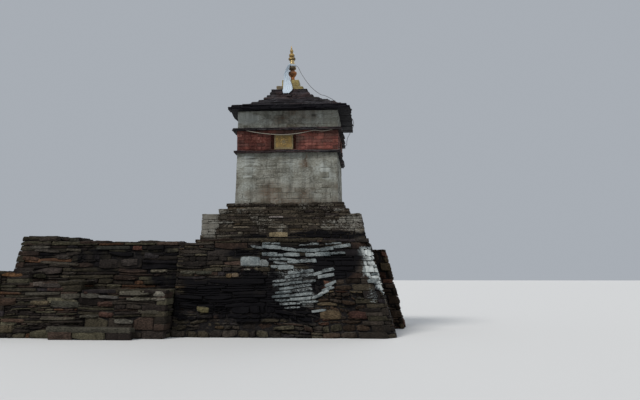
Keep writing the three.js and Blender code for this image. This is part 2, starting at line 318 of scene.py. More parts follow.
@dataclass
class MeshParts:
    """Points and faces that become one mesh, with a tint and marks at each point."""

    points: list[Array] = field(default_factory=list)
    tints: list[Array] = field(default_factory=list)
    marks: list[Array] = field(default_factory=list)
    faces: list[list[int]] = field(default_factory=list)
    count: int = 0

    def add(self, points: Array, faces: Array, tints: object, marks: object = 0.0) -> None:
        """Add points with their faces.

        Args:
            points: Places, one row each.
            faces: Rows of indexes into these points.
            tints: A colour or a value for each point, or one for all.
            marks: The coats at each point, or one value for all.
        """
        size = len(points)
        self.points.append(np.stack([points[:, 0], points[:, 1], np.maximum(points[:, 2], 0.0)], -1))
        self.tints.append(np.broadcast_to(tints, (size, 3)))
        self.marks.append(np.broadcast_to(marks, (size, 3)))
        self.faces.extend((np.asarray(faces) + self.count).tolist())
        self.count += size

    def add_bodies(self, bodies: Array, tints: Array, marks: Array) -> None:
        """Add closed bodies, each a stack of rings.

        Args:
            bodies: Points by body, ring, place on the ring and axis.
            tints: A colour for each point.
            marks: The coats at each point.
        """
        many, rings, around = bodies.shape[:3]
        starts = (np.arange(many) * rings * around)[:, None, None]
        quads = (grid_faces(rings, around, closed=True)[None] + starts).reshape(-1, 4)
        here = np.arange(around)
        caps = (np.stack([here[::-1], here + (rings - 1) * around])[None] + starts).reshape(-1, around)
        caps += self.count
        self.add(bodies.reshape(-1, 3), quads, tints.reshape(-1, 3), marks.reshape(-1, 3))
        self.faces.extend(caps.tolist())

    def add_tube(self, rings: Array, hollow: Array | float) -> None:
        """Add one closed body by its rings, tinted by how far each point lies in a hollow."""
        shape = (1, *rings.shape)
        self.add_bodies(rings[None], np.broadcast_to(hollow, shape), np.zeros(shape))

    def build(self, name: str, finish: "Finish", slot: str, nodes: Sequence[str] = (),
              smooth: bool = False) -> bpy.types.Object:
        """Make the object, riding on the stupa in the place of some nodes.

        Args:
            name: The piece's name.
            finish: Its finish.
            slot: The material slot's name, not used.
            nodes: The nodes it stands for.
            smooth: Whether its faces shade as one curved surface.

        Returns:
            The new object.
        """
        mesh = bpy.data.meshes.new(name)
        mesh.from_pydata(np.concatenate(self.points).tolist(), [], self.faces)
        for label, rows in (("tint", self.tints), ("marks", self.marks)):
            values = np.ones((self.count, 4), dtype=np.float32)
            values[:, :3] = np.concatenate(rows)
            mesh.color_attributes.new(label, "FLOAT_COLOR", "POINT").data.foreach_set("color", values.ravel())
        mesh.materials.append(finish.make())
        if smooth:
            mesh.shade_smooth()
        piece = add_object(name, mesh)
        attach(piece, "root")
        if nodes:
            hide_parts(*nodes)
        LOG.info("%s: %d faces", name, len(self.faces))
        return piece


@dataclass(frozen=True)
class Palette:
    """The tints of one kind of stone, in thousandths, with how often each comes."""

    tints: Sequence[Colour]
    weights: Sequence[float]
    spread: float = 0.22

    def pick(self, many: int, rng: Chance) -> Array:
        """Choose a tint for each of several stones."""
        share = np.asarray(self.weights) / np.sum(self.weights)
        chosen = (np.asarray(self.tints) / TABLE_UNIT)[rng.choice(len(self.tints), many, p=share)]
        return chosen * np.exp(rng.normal(0, self.spread, (many, 1)))


@dataclass(frozen=True)
class Bond:
    """How stones are laid and shaped, in metres and in shares of a stone's size."""

    course: Pair = (0.12, 0.25)
    stretch: Pair = (0.7, 1.9)
    layer: Pair = (0.038, 0.105)
    stone: Pair = (0.18, 0.9)
    quoin: Pair = (0.24, 0.5)
    blocks: float = 0.14
    joint: float = 0.004
    relief: float = 0.015
    rough: float = 0.0045
    bevel: float = 0.016
    corner: float = 0.045
    taper: float = 0.55
    depth: float = 0.13
    wander: float = 0.03
    tilt: float = 0.03
    droop: float = 0.0
    # How strongly the painted shade of each stone's rings shows, from none to full.
    shade: float = 1.0


@dataclass
class Stones:
    """Stones on one field: left, right, low and high of each, and how each lies."""

    rects: Array
    relief: Array
    tints: Array
    skew: Array | float = 0.0
    wash: Array | float = 0.0


@dataclass(frozen=True)
class Field:
    """A flat four-sided field of a wall, by its corners as seen from outside."""

    low_left: Array
    low_right: Array
    top_left: Array
    top_right: Array

    @property
    def width(self) -> float:
        """Metres across the middle."""
        low = np.linalg.norm(self.low_right - self.low_left)
        return float(low + np.linalg.norm(self.top_right - self.top_left)) / 2

    @property
    def height(self) -> float:
        """Metres up the slope, square to the foot."""
        along = (self.low_right - self.low_left) / np.linalg.norm(self.low_right - self.low_left)
        side = self.top_left - self.low_left
        return float(np.linalg.norm(side - along * (side @ along)))

    def place(self, across: Array, up: Array, out: Array) -> Array:
        """Turn places on the field into places in the frame.

        Args:
            across: Metres from the left.
            up: Metres from the foot.
            out: Metres out of the wall, level.

        Returns:
            The points, x, y and z along the last axis.
        """
        s = (across / self.width)[..., None]
        t = (up / self.height)[..., None]
        normal = unit_rows(np.cross(self.low_right - self.low_left, self.top_left - self.low_left))
        normal = unit_rows(normal * (1, 1, 0))
        low = self.low_left * (1 - s) + self.low_right * s
        top = self.top_left * (1 - s) + self.top_right * s
        return low * (1 - t) + top * t + normal * out[..., None]

    def locate(self, x: float, z: float) -> Pair:
        """Give metres across and up of a place on a field that faces the front."""
        t = (z - self.low_left[2]) / (self.top_left[2] - self.low_left[2])
        left = self.low_left[0] * (1 - t) + self.top_left[0] * t
        right = self.low_right[0] * (1 - t) + self.top_right[0] * t
        return (x - left) / (right - left) * self.width, t * self.height

    def add_sheet(self, parts: MeshParts, rect: Sequence[float], out: float, tint: Colour) -> None:
        """Add a flat sheet behind the stones, from left, right, low to high."""
        left, right, low, high = rect
        corners = np.array([(left, low), (right, low), (right, high), (left, high)])
        parts.add(self.place(corners[:, 0], corners[:, 1], np.full(4, out)), [[0, 1, 2, 3]], tint)

    def add_stones(self, parts: MeshParts, stones: Stones, bond: Bond, rule: Rule | None,
                   rng: Chance) -> None:
        """Give each stone its worn, uneven body and add it to a mesh.

        Args:
            parts: The mesh.
            stones: The stones.
            bond: How they are shaped.
            rule: Where the coats lie, or None.
            rng: The source of chance.
        """
        many = len(stones.rects)
        one, points = (many, 1, 1), (many, len(RING_INSET), len(END_INSET))
        left, right, low, high = (stones.rects[:, i, None, None] for i in range(4))
        length = right - left - 2 * bond.joint
        tall = high - low - 2 * bond.joint
        bevel = np.minimum(bond.bevel, MOST_BEVEL * tall)
        corner = np.minimum(bond.corner * rng.uniform(0.5, 1.5, one), MOST_CORNER * length)
        inner = [length * (share + rng.uniform(-COLUMN_STRAY, COLUMN_STRAY, one)) for share in INNER_COLUMNS]
        along = np.concatenate([0 * length, FIRST_COLUMN * corner, corner, *inner, length - corner,
                                length - FIRST_COLUMN * corner, length, (1 - BACK_SHORTER) * length,
                                BACK_SHORTER * length], axis=2)
        share = along / length
        turned = END_INSET[None, None] * corner * CORNER_TURN
        out = stones.relief[:, None, None] - turned - bevel * RING_INSET[None, :, None]
        lean = np.clip(rng.normal(0, bond.tilt, one), -MOST_LEAN, MOST_LEAN)
        out = out + lean * (share - 0.5) * length
        out = out + rng.normal(0, bond.rough, points) + rng.normal(0, bond.rough, (many, 1, points[2]))
        out[:, :, -2:] = -bond.depth
        level = ring_levels(tall, bevel) / tall
        ends = rng.uniform(0, bond.taper, (2, *one))
        near = np.clip(1 - END_RATE * share, 0, 1), np.clip(END_RATE * share - (END_RATE - 1), 0, 1)
        shrink = ends[0] * near[0] ** END_CURVE + ends[1] * near[1] ** END_CURVE
        drop = rng.random((2, *one))
        bed = shrink * (drop[0] * (1 - share) + drop[1] * share)
        up = low + bond.joint + tall * (level * (1 - shrink) + bed)
        up = up + rng.normal(0, ROUGH_UP * bond.rough, points) - bond.droop * (out + bond.depth)
        skew = np.asarray(stones.skew).reshape(-1, 1, 1) + rng.normal(0, 0.2 * bond.tilt, one)
        up = up + skew * (share - 0.5)
        across = left + bond.joint + along + rng.normal(0, ROUGH_ALONG * bond.rough, points)
        if bond.wander:
            ease = np.clip(np.minimum(up, self.height - up) / STRAIGHT_UP, 0, 1)
            ease = ease * np.clip(np.minimum(across, self.width - across) / STRAIGHT_ALONG, 0, 1)
            flat = np.stack([across, 0 * across, WANDER_FLAT * up], -1)
            up = up + bond.wander * ripple(flat, WANDER_SIZE, 7) * ease
        bodies = self.place(across, up, out)
        marks = np.zeros(bodies.shape) if rule is None else rule(bodies)
        marks[..., 0] += np.asarray(stones.wash).reshape(-1, 1, 1)
        marks *= np.clip(1 + rng.normal(0, COAT_SPREAD, (many, 1, 1, 1)), *COAT_RANGE)
        tints = spread_tints(stones.tints, bodies, bond.shade, rng)
        parts.add_bodies(bodies, tints, np.clip(marks, 0, MOST_COAT))


def ring_levels(tall: Array, bevel: Array) -> Array:
    """Give how high each ring of a stone lies above its bed."""
    return np.concatenate([0 * tall, BEVEL_RING * bevel, tall / 2, tall - BEVEL_RING * bevel, tall], axis=1)


def spread_tints(tints: Array, bodies: Array, shade: float, rng: Chance) -> Array:
    """Spread a tint over each body: painted shade over its rings, darkest in the beds, and weathering over
    the wall.

    Args:
        tints: One colour per body.
        bodies: The bodies' points.
        shade: How strongly the rings' painted shade shows, up to 1.
        rng: The source of chance.

    Returns:
        A colour at each point.
    """
    weather = np.exp(WEATHER * ripple(bodies.mean(axis=(1, 2)), WEATHER_WAVES, 17))[:, None, None, None]
    uneven = np.exp(rng.normal(0, TINT_UNEVEN, bodies.shape[:3]))[..., None]
    ring = 1 + (RING_SHADE - 1) * shade
    return tints[:, None, None, :] * ring[None, :, None, None] * weather * uneven


def cuts(low: float, high: float, sizes: Pair, rng: Chance) -> Array:
    """Cut a length into pieces of random size.

    Args:
        low: Where it starts.
        high: Where it ends.
        sizes: The range of the pieces.
        rng: The source of chance.

    Returns:
        The places of the cuts, both ends included.
    """
    many = max(1, round((high - low) / rng.uniform(*sizes)))
    shares = rng.uniform(*sizes, many)
    return low + (high - low) * np.concatenate([[0], np.cumsum(shares) / shares.sum()])


def fill_course(left: float, right: float, low: float, high: float, bond: Bond,
                rng: Chance) -> list[Four]:
    """Fill one course with stones: single blocks, and stretches of thin layers.

    Args:
        left: Where the course starts.
        right: Where it ends.
        low: Its bed.
        high: Its top.
        bond: The sizes.
        rng: The source of chance.

    Returns:
        Rows of left, right, low, high.
    """
    rects = []
    start = left
    while right - start > LEAST_FILL:
        block = rng.random() < bond.blocks
        end = start + (rng.uniform(*BLOCK_RANGE) * bond.stone[1] if block else rng.uniform(*bond.stretch))
        end = right if right - end < bond.stone[0] else end
        beds = (low, high) if block else cuts(low, high, bond.layer, rng)
        whole = block and end - start < bond.stone[1]
        for bed, top in zip(beds[:-1], beds[1:]):
            ends = (start, end) if whole else cuts(start, end, bond.stone, rng)
            rects += [(a, b, bed, top) for a, b in zip(ends[:-1], ends[1:])]
        start = end
    return rects


@dataclass(frozen=True)
class Zone:
    """A part of the front that is laid in its own way, by its place as x and z."""

    left: float
    right: float
    low: float
    high: float
    bond: Bond
    palette: Palette


@dataclass(frozen=True)
class Slab:
    """A stone laid one by one: its ends, the heights of its middle there, and its thickness."""

    left: float
    right: float
    z_left: float
    z_right: float
    thickness: float
    tint: Colour
    wash: float = 0.0
    out: float = 0.012

    @classmethod
    def measured(cls, row: Sequence, wash: float = 0.0, out: float = 0.012) -> "Slab":
        """Give the stone of a table's row."""
        *sizes, tint = row
        colour = tuple(part / TABLE_UNIT for part in tint)
        return cls(*(size / TABLE_UNIT for size in sizes), colour, wash, out)


@dataclass
class Masonry:
    """Walls of laid stone between a plan at the foot and a plan at the top.

    The plans run counter-clockwise seen from above. Only the numbered sides are laid. A corner
    between two of them gets corner stones that bind in turns to either side. The chosen stones
    come first, each table with its bond, and the rest keeps back behind them.
    """

    foot: Plan
    top: Plan
    low: float
    high: float
    bond: Bond
    palette: Palette
    seed: int
    rule: Rule | None = None
    sides: Sequence[int] = ALL_SIDES
    chosen: Sequence[tuple[Sequence[Slab], Bond]] = ()
    windows: dict[int, Four] = field(default_factory=dict)
    beds: Sequence[float] | None = None
    recess: float = 0.05
    # The sheet behind the stones: dark painted shade by default, else the colour between the joints.
    fill: Colour = PAINTED_GAP_SHADE
    zones: Sequence[Zone] = ()
    omit: Rule | None = None
    sunk: list[Four] = field(default_factory=list)
    parts: MeshParts = field(init=False)
    rng: Chance = field(init=False)

    def side(self, index: int) -> Field:
        """Give the field of one side."""
        ends = (index, (index + 1) % len(self.foot))
        low = [np.array([*self.foot[i], self.low]) for i in ends]
        return Field(*low, *(np.array([*self.top[i], self.high]) for i in ends))

    def lay(self, parts: MeshParts) -> None:
        """Lay the chosen stones, then every side, its corners and the sheet behind them, painted shade by
        default.
        """
        self.parts, self.rng = parts, np.random.default_rng(self.seed)
        for slabs, bond in self.chosen:
            if slabs:
                self._lay_chosen(slabs, bond)
        if self.beds is None:
            sizes = tuple(size / (self.high - self.low) for size in self.bond.course)
            self.beds = cuts(0.0, 1.0, sizes, self.rng)
        courses = len(self.beds) - 1
        many = len(self.foot)
        widths = [self.side(i).width for i in range(many)]
        reach = np.zeros((many, courses, 2))
        for corner in range(many):
            before = (corner - 1) % many
            if corner not in self.sides or before not in self.sides:
                continue
            short, long = (self.rng.uniform(*QUOIN_RANGE, courses) * size for size in self.bond.quoin)
            swap = (np.arange(courses) + corner) % 2 == 0
            share = np.where(swap, LONG_SHARE, SHORT_SHARE)
            for way, side in enumerate((corner, before)):
                reach[corner, :, way] = np.where(swap == (way == 0), long, short)
                if widths[side] < NARROW_SIDE:
                    reach[corner, :, way] = share * widths[side]
            self._corner(corner, reach[corner])
        for index in self.sides:
            self._side(index, reach)

    def _lay_chosen(self, slabs: Sequence[Slab], bond: Bond) -> None:
        """Lay chosen stones on the front, free of stains.

        Args:
            slabs: The stones.
            bond: How they are shaped.
        """
        rng = np.random.default_rng(self.seed + CHOSEN_SEED)
        front = self.side(0)
        rects, skews = [], []
        for slab in slabs:
            left, low = front.locate(slab.left, slab.z_left)
            right, high = front.locate(slab.right, slab.z_right)
            middle, half = (low + high) / 2, slab.thickness / 2
            rects.append((left, right, middle - half, middle + half))
            skews.append(high - low)
        relief = np.array([slab.out for slab in slabs]) + rng.normal(0, CHOSEN_SPREAD, len(slabs))
        tints, wash = (np.array([getattr(slab, key) for slab in slabs]) for key in ("tint", "wash"))
        stones = Stones(np.array(rects), relief, tints, np.array(skews), wash)
        front.add_stones(self.parts, stones, replace(bond, wander=0.0), None, rng)
        self.sunk += rects

    def _spans(self, wall: Field, index: int, span: Sequence[float]) -> list[tuple[float, float, int]]:
        """Divide one course between the zones and round the window.

        Args:
            wall: The side's field.
            index: The side's number.
            span: Left, right, low and high of the course.

        Returns:
            Left, right and the number of the zone of each stretch, -1 for none.
        """
        left, right, low, high = span
        window = self.windows.get(index)
        if window and low < window[3] - WINDOW_OVERLAP and high > window[2] + WINDOW_OVERLAP:
            return [(left, window[0], -1), (window[1], right, -1)]
        spans = [(left, right, -1)]
        level = wall.low_left[2] + (low + high) / 2 / wall.height * (self.high - self.low)
        for number, zone in enumerate(self.zones if index == 0 else ()):
            if not zone.low < level + self.rng.uniform(-ZONE_SHIFT[1], ZONE_SHIFT[1]) < zone.high:
                continue
            start, end = (wall.locate(edge + self.rng.uniform(-ZONE_SHIFT[0], ZONE_SHIFT[0]), level)[0]
                          for edge in (zone.left, zone.right))
            kept = []
            for a, b, held in spans:
                if held >= 0 or start >= b or end <= a:
                    kept.append((a, b, held))
                    continue
                first, last = max(a, start), min(b, end)
                kept += [(a, first, -1), (first, last, number), (last, b, -1)]
            spans = kept
        return [item for item in spans if item[1] - item[0] > LEAST_STRETCH]

    def _side(self, index: int, reach: Array) -> None:
        """Lay one side between its corner stones, with the sheet behind, painted shade by default.

        Args:
            index: The side's number.
            reach: How far the corner stones reach along the sides.
        """
        wall, rng = self.side(index), self.rng
        after = (index + 1) % len(self.foot)
        plain = (self.bond, self.palette)
        laid: dict[int, list] = {}
        for course, (bed, top) in enumerate(zip(self.beds[:-1], self.beds[1:])):
            span = (reach[index, course, 0], wall.width - reach[after, course, 1],
                    bed * wall.height, top * wall.height)
            for start, end, number in self._spans(wall, index, span):
                bond = self.bond if number < 0 else self.zones[number].bond
                laid.setdefault(number, []).extend(fill_course(start, end, *span[2:], bond, rng))
        for number, rows in laid.items():
            bond, palette = plain if number < 0 else (self.zones[number].bond, self.zones[number].palette)
            rects = np.array(rows)
            if self.omit is not None:
                middles = rects[:, :2].mean(axis=1), rects[:, 2:].mean(axis=1)
                rects = rects[~self.omit(wall.place(*middles, np.zeros(len(rects))))]
            relief = rng.normal(0, bond.relief, len(rects))
            relief = np.clip(relief, *(end * bond.relief for end in RELIEF_RANGE))
            for left, right, low, high in self.sunk if index == 0 else ():
                beside = (rects[:, 0] < right) & (rects[:, 1] > left)
                behind = beside & (rects[:, 2] < high) & (rects[:, 3] > low)
                relief = np.where(behind, np.minimum(relief, BEHIND_CHOSEN), relief)
            stones = Stones(rects, relief, palette.pick(len(rects), rng))
            wall.add_stones(self.parts, stones, bond, self.rule, rng)
        ends = []
        for corner, bound in ((index, reach[index].any()), (after, reach[after].any())):
            ends.append(self.recess * math.tan(self._turn(corner) / 2) if bound else 0.0)
        rect = (ends[0], wall.width - ends[1], 0.0, wall.height)
        wall.add_sheet(self.parts, rect, -self.recess, self.fill)

    def _turn(self, corner: int) -> float:
        """Give how far the plan turns at a corner, in radians."""
        before, here, after = (np.array(self.foot[(corner + i) % len(self.foot)]) for i in (-1, 0, 1))
        came, goes = here - before, after - here
        return float(np.arccos(came @ goes / np.linalg.norm(came) / np.linalg.norm(goes)))

    def _corner(self, corner: int, reach: Array) -> None:
        """Lay the corner stones at one corner of the plan.

        Args:
            corner: The corner's number.
            reach: How far they reach along either side, by course.
        """
        bond, rng, rise = self.bond, self.rng, self.high - self.low
        low_point, top_point = np.array(self.foot[corner]), np.array(self.top[corner])
        ahead, behind = (np.array(self.foot[(corner + i) % len(self.foot)]) - low_point for i in (1, -1))
        ahead, behind = ahead / np.linalg.norm(ahead), behind / np.linalg.norm(behind)
        rows = []
        for course, (bed, top) in enumerate(zip(self.beds[:-1], self.beds[1:])):
            thick = bond.layer[1] * rng.uniform(*QUOIN_LAYERS)
            levels = np.linspace(bed, top, max(1, round((top - bed) * rise / thick)) + 1)
            rows += [(a, b, *(reach[course] - bond.joint)) for a, b in zip(levels[:-1], levels[1:])]
        rows = np.array(rows)
        if self.omit is not None:
            t = rows[:, :2].mean(axis=1, keepdims=True)
            rows = rows[~self.omit(np.hstack([low_point * (1 - t) + top_point * t, self.low + t * rise]))]
        many = len(rows)
        a, b = rows[:, 2, None, None], rows[:, 3, None, None]
        tall = (rows[:, 1] - rows[:, 0])[:, None, None] * rise - 2 * bond.joint
        bevel = np.minimum(bond.bevel, MOST_BEVEL * tall)
        nose = NOSE * bond.corner * rng.uniform(*NOSE_RANGE, a.shape)
        nose = np.minimum(nose, MOST_NOSE * np.minimum(a, b))
        zero = 0 * a
        back = NOSE_BACK * nose
        first = np.concatenate([nose, a / 2, a - bevel, a, a, bevel, zero, zero, zero, back], axis=2)
        second = np.concatenate([zero, zero, zero, bevel, b, b, b - bevel, b / 2, nose, back], axis=2)
        inset = bevel * RING_INSET[None, :, None]
        shape = (many, len(RING_INSET), first.shape[2])
        shift = np.clip(rng.normal(0, QUOIN_RELIEF * bond.relief, (2, many, 1, 1)), -bond.relief, bond.relief)
        first, second = (
            np.where(way < QUOIN_INNER * end, way + inset, way) + rng.normal(0, bond.rough, shape) - moved
            for way, end, moved in ((first, a, shift[0]), (second, b, shift[1])))
        height = self.low + rows[:, 0, None, None] * rise + bond.joint + ring_levels(tall, bevel)
        height = height + rng.normal(0, ROUGH_UP * bond.rough, shape)
        height = height - bond.droop * np.clip(a - np.minimum(first, second), 0, bond.depth)
        t = ((height - self.low) / rise)[..., None]
        ground = low_point * (1 - t) + top_point * t + ahead * first[..., None] + behind * second[..., None]
        bodies = np.concatenate([ground, height[..., None]], -1)
        marks = np.zeros(bodies.shape) if self.rule is None else self.rule(bodies)
        tints = spread_tints(self.palette.pick(many, rng), bodies, bond.shade, rng)
        self.parts.add_bodies(bodies, tints, marks)


@dataclass(frozen=True)
class Pavers:
    """The flat stones of a floor, in metres: their usual size, and how they are worn."""

    size: Pair = (0.6, 0.4)
    joint: float = 0.005
    relief: float = 0.009
    rough: float = 0.005
    bevel: float = 0.012
    depth: float = 0.055
    wander: float = 0.015
    tilt: float = 0.02
    around: int = 24

    def outlines(self, width: float, depth: float, rng: Chance) -> Array:
        """Divide a floor between stones of uneven outline that fit together.

        Args:
            width: The floor's width.
            depth: The floor's depth.
            rng: The source of chance.

        Returns:
            The outlines by stone, place on the outline and axis.
        """
        many = [max(1, round(span / size)) for span, size in zip((width, depth), self.size)]
        centres = np.stack(np.meshgrid(*(np.arange(n) + 0.5 for n in many)), -1).reshape(-1, 2)
        centres[:, 0] += np.where(centres[:, 1] % 2 < 1, PAVER_STAGGER, -PAVER_STAGGER)
        centres += rng.uniform(-PAVER_JITTER, PAVER_JITTER, centres.shape)
        found = []
        for centre in centres:
            outline = np.array(rectangle(0.0, many[0], 0.0, many[1]))
            nearest = np.argsort(np.linalg.norm(centres - centre, axis=1))
            for other in centres[nearest[1:PAVER_NEIGHBOURS + 1]]:
                beyond = (outline - (centre + other) / 2) @ (other - centre)
                outline = clip_outline(outline, beyond)
            closed = np.vstack([outline, outline[:1]])
            along = np.concatenate([[0], np.cumsum(np.linalg.norm(np.diff(closed, axis=0), axis=1))])
            even = np.linspace(0, along[-1], self.around, endpoint=False)
            found.append(np.stack([np.interp(even, along, closed[:, k]) for k in (0, 1)], -1))
        return np.array(found) * (width / many[0], depth / many[1])


def clip_outline(outline: Array, beyond: Array) -> Array:
    """Cut off the part of an outline where a value at its corners is above zero.

    Args:
        outline: The corners.
        beyond: The value at each.

    Returns:
        The corners of what is left.
    """
    kept = []
    for here, there, a, b in zip(outline, np.roll(outline, -1, axis=0), beyond, np.roll(beyond, -1)):
        if a <= 0:
            kept.append(here)
        if a * b < 0:
            kept.append(here + (there - here) * a / (a - b))
    return np.array(kept)


@dataclass
class Paving:
    """A level floor of flat stones, with those left out that lie wholly under what stands on it."""

    plan: Plan
    level: float
    palette: Palette
    seed: int
    pavers: Pavers = Pavers()
    rule: Rule | None = None
    covered: Sequence[float] | None = None

    def lay(self, parts: MeshParts) -> None:
        """Lay the floor and the dark sheet of painted shade under it."""
        rng, pavers = np.random.default_rng(self.seed), self.pavers
        (left, front), _, (right, back), _ = self.plan
        outlines = pavers.outlines(right - left, back - front, rng) + (left, front)
        if self.covered:
            hidden = (outlines > self.covered[::2]) & (outlines < self.covered[1::2])
            outlines = outlines[~hidden.all(axis=(1, 2))]
        many = len(outlines)
        level = np.full((*outlines.shape[:2], 1), self.level)
        shift = [ripple(np.concatenate([outlines, level], -1), PAVER_RIPPLE, seed) for seed in (3, 4)]
        outlines = outlines + pavers.wander * np.stack(shift, -1)
        middle = outlines.mean(axis=1, keepdims=True)
        inward = unit_rows(middle - outlines)
        relief = np.clip(rng.normal(0, pavers.relief, (many, 1, 1)), -MOST_SUNK, pavers.relief)
        slope = rng.normal(0, pavers.tilt, (many, 1, 2)).clip(-MOST_SLOPE, MOST_SLOPE)
        rings = []
        drops = (pavers.depth, pavers.bevel, BEVEL_RING * pavers.bevel, 0.0, 0.0)
        for drop, inset in zip(drops, PAVER_INSETS):
            ring = outlines + inward * (pavers.joint + inset * pavers.bevel)
            worn = rng.normal(0, pavers.rough, (*ring.shape[:2], 1)) * (drop < pavers.depth)
            height = self.level - pavers.relief + relief - drop + worn
            height = height + ((ring - middle) * slope).sum(-1, keepdims=True)
            rings.append(np.concatenate([ring + rng.normal(0, 0.5 * pavers.rough, ring.shape), height], -1))
        bodies = np.stack(rings, 1)
        marks = np.zeros(bodies.shape) if self.rule is None else self.rule(bodies)
        tints = spread_tints(self.palette.pick(many, rng), bodies, PAVER_SHADE, rng)
        parts.add_bodies(bodies, tints, marks)
        corners = rectangle(left + FILL_INSET, right - FILL_INSET, front + FILL_INSET, back - FILL_INSET)
        fill = [(*corner, self.level - FILL_DEPTH * pavers.depth) for corner in corners]
        parts.add(np.array(fill), [[0, 1, 2, 3]], PAINTED_GAP_SHADE)


def lay_piece(name: str, finish: "Finish", slot: str, nodes: Sequence[str], *works: Masonry | Paving) -> None:
    """Lay walls and floors one after the other and make one piece of them.

    Args:
        name: The piece's name.
        finish: Its finish.
        slot: The material slot's name, passed on to the mesh.
        nodes: The nodes it stands for.
        *works: The walls and floors.
    """
    parts = MeshParts()
    for work in works:
        work.lay(parts)
    parts.build(name, finish, slot, nodes)


class Shader:
    """A node tree with short calls for its nodes and links, and with its surface node if it has one."""

    def __init__(self, tree: bpy.types.NodeTree) -> None:
        """Start on a tree."""
        self.tree = tree
        self.surface = tree.nodes.get("Principled BSDF")

    def feed(self, socket: Socket, value: object) -> None:
        """Set an input, or link it where the value is a socket."""
        if isinstance(value, Socket):
            self.tree.links.new(value, socket)
        else:
            socket.default_value = (*value[:3], 1.0) if socket.type == "RGBA" else value

    def node(self, kind: str, settings: dict | None = None, **inputs: object) -> bpy.types.Node:
        """Add a node.

        Args:
            kind: Its type, without the ShaderNode prefix.
            settings: Its own options.
            **inputs: Values or sockets for its inputs.

        Returns:
            The node.
        """
        made = self.tree.nodes.new(f"ShaderNode{kind}")
        for name, value in (settings or {}).items():
            setattr(made, name, value)
        self.wire(made, **inputs)
        return made

    def wire(self, node: bpy.types.Node, **inputs: object) -> None:
        """Set or link inputs of a node, with _ for a space in a name."""
        for name, value in inputs.items():
            self.feed(node.inputs[name.replace("_", " ")], value)

    def math(self, operation: str, first: object, second: object = 0.0) -> Socket:
        """Give the result of a sum on two values."""
        made = self.node("Math", {"operation": operation})
        self.feed(made.inputs[0], first)
        self.feed(made.inputs[1], second)
        return made.outputs[0]

    def mix(self, share: object, first: object, second: object) -> Socket:
        """Mix two colours."""
        made = self.node("Mix", {"data_type": "RGBA"})
        for index, value in ((0, share), (6, first), (7, second)):
            self.feed(made.inputs[index], value)
        return made.outputs[2]

    def darken(self, colour: object, level: object) -> Socket:
        """Multiply a colour by a value."""
        made = self.node("VectorMath", {"operation": "SCALE"})
        self.feed(made.inputs[0], colour)
        self.feed(made.inputs["Scale"], level)
        return made.outputs[0]

    def span(self, value: object, low: float, high: float, to_low: float = 0.0,
             to_high: float = 1.0) -> Socket:
        """Carry a value smoothly from one range to another."""
        made = self.node("MapRange", {"interpolation_type": "SMOOTHSTEP"})
        for index, item in enumerate((value, low, high, to_low, to_high)):
            self.feed(made.inputs[index], item)
        return made.outputs[0]

    def attribute(self, name: str) -> Socket:
        """Give the colour stored at the mesh's points under a name."""
        return self.node("Attribute", {"attribute_name": name}).outputs["Color"]

    def bump(self, height: object, strength: float, distance: float) -> None:
        """Raise the surface by a height."""
        raised = self.node("Bump", Strength=strength, Distance=distance, Height=height)
        self.wire(self.surface, Normal=raised.outputs[0])

    def cover(self, amount: object, patch: object, ragged: float, soft: float) -> Socket:
        """Give the mask of a worn coat.

        Args:
            amount: How much of it there is.
            patch: The unevenness that breaks it up.
            ragged: How far it breaks up.
            soft: How soft its edge is.

        Returns:
            The mask.
        """
        made = self.node("Group", {"node_tree": cover_group()}, Amount=amount, Patch=patch, Ragged=ragged,
                         Soft=soft)
        return made.outputs["Mask"]

    def grain(self, scale: float, flatten: float) -> tuple[Socket, ...]:
        """Give the flecks, the patches, the rain streaks and the height of worn stone."""
        made = self.node("Group", {"node_tree": grain_group()}, Scale=scale, Flatten=flatten)
        return tuple(made.outputs[name] for name in GRAIN_OUTPUTS)


GRAIN_OUTPUTS = ("Fleck", "Patch", "Streak", "Height")


def start_group(name: str, inputs: dict[str, float],
                outputs: Sequence[str]) -> tuple[bpy.types.NodeTree, Shader, bpy.types.Node, bpy.types.Node]:
    """Start a node group whose sockets are plain numbers.

    Args:
        name: The group's name.
        inputs: Its inputs with their first values.
        outputs: Its outputs.

    Returns:
        The group, a shader to fill it, and its entry and exit nodes.
    """
    group = bpy.data.node_groups.new(name, "ShaderNodeTree")
    for label, value in inputs.items():
        group.interface.new_socket(label, in_out="INPUT", socket_type="NodeSocketFloat").default_value = value
    for label in outputs:
        group.interface.new_socket(label, in_out="OUTPUT", socket_type="NodeSocketFloat")
    return group, Shader(group), group.nodes.new("NodeGroupInput"), group.nodes.new("NodeGroupOutput")


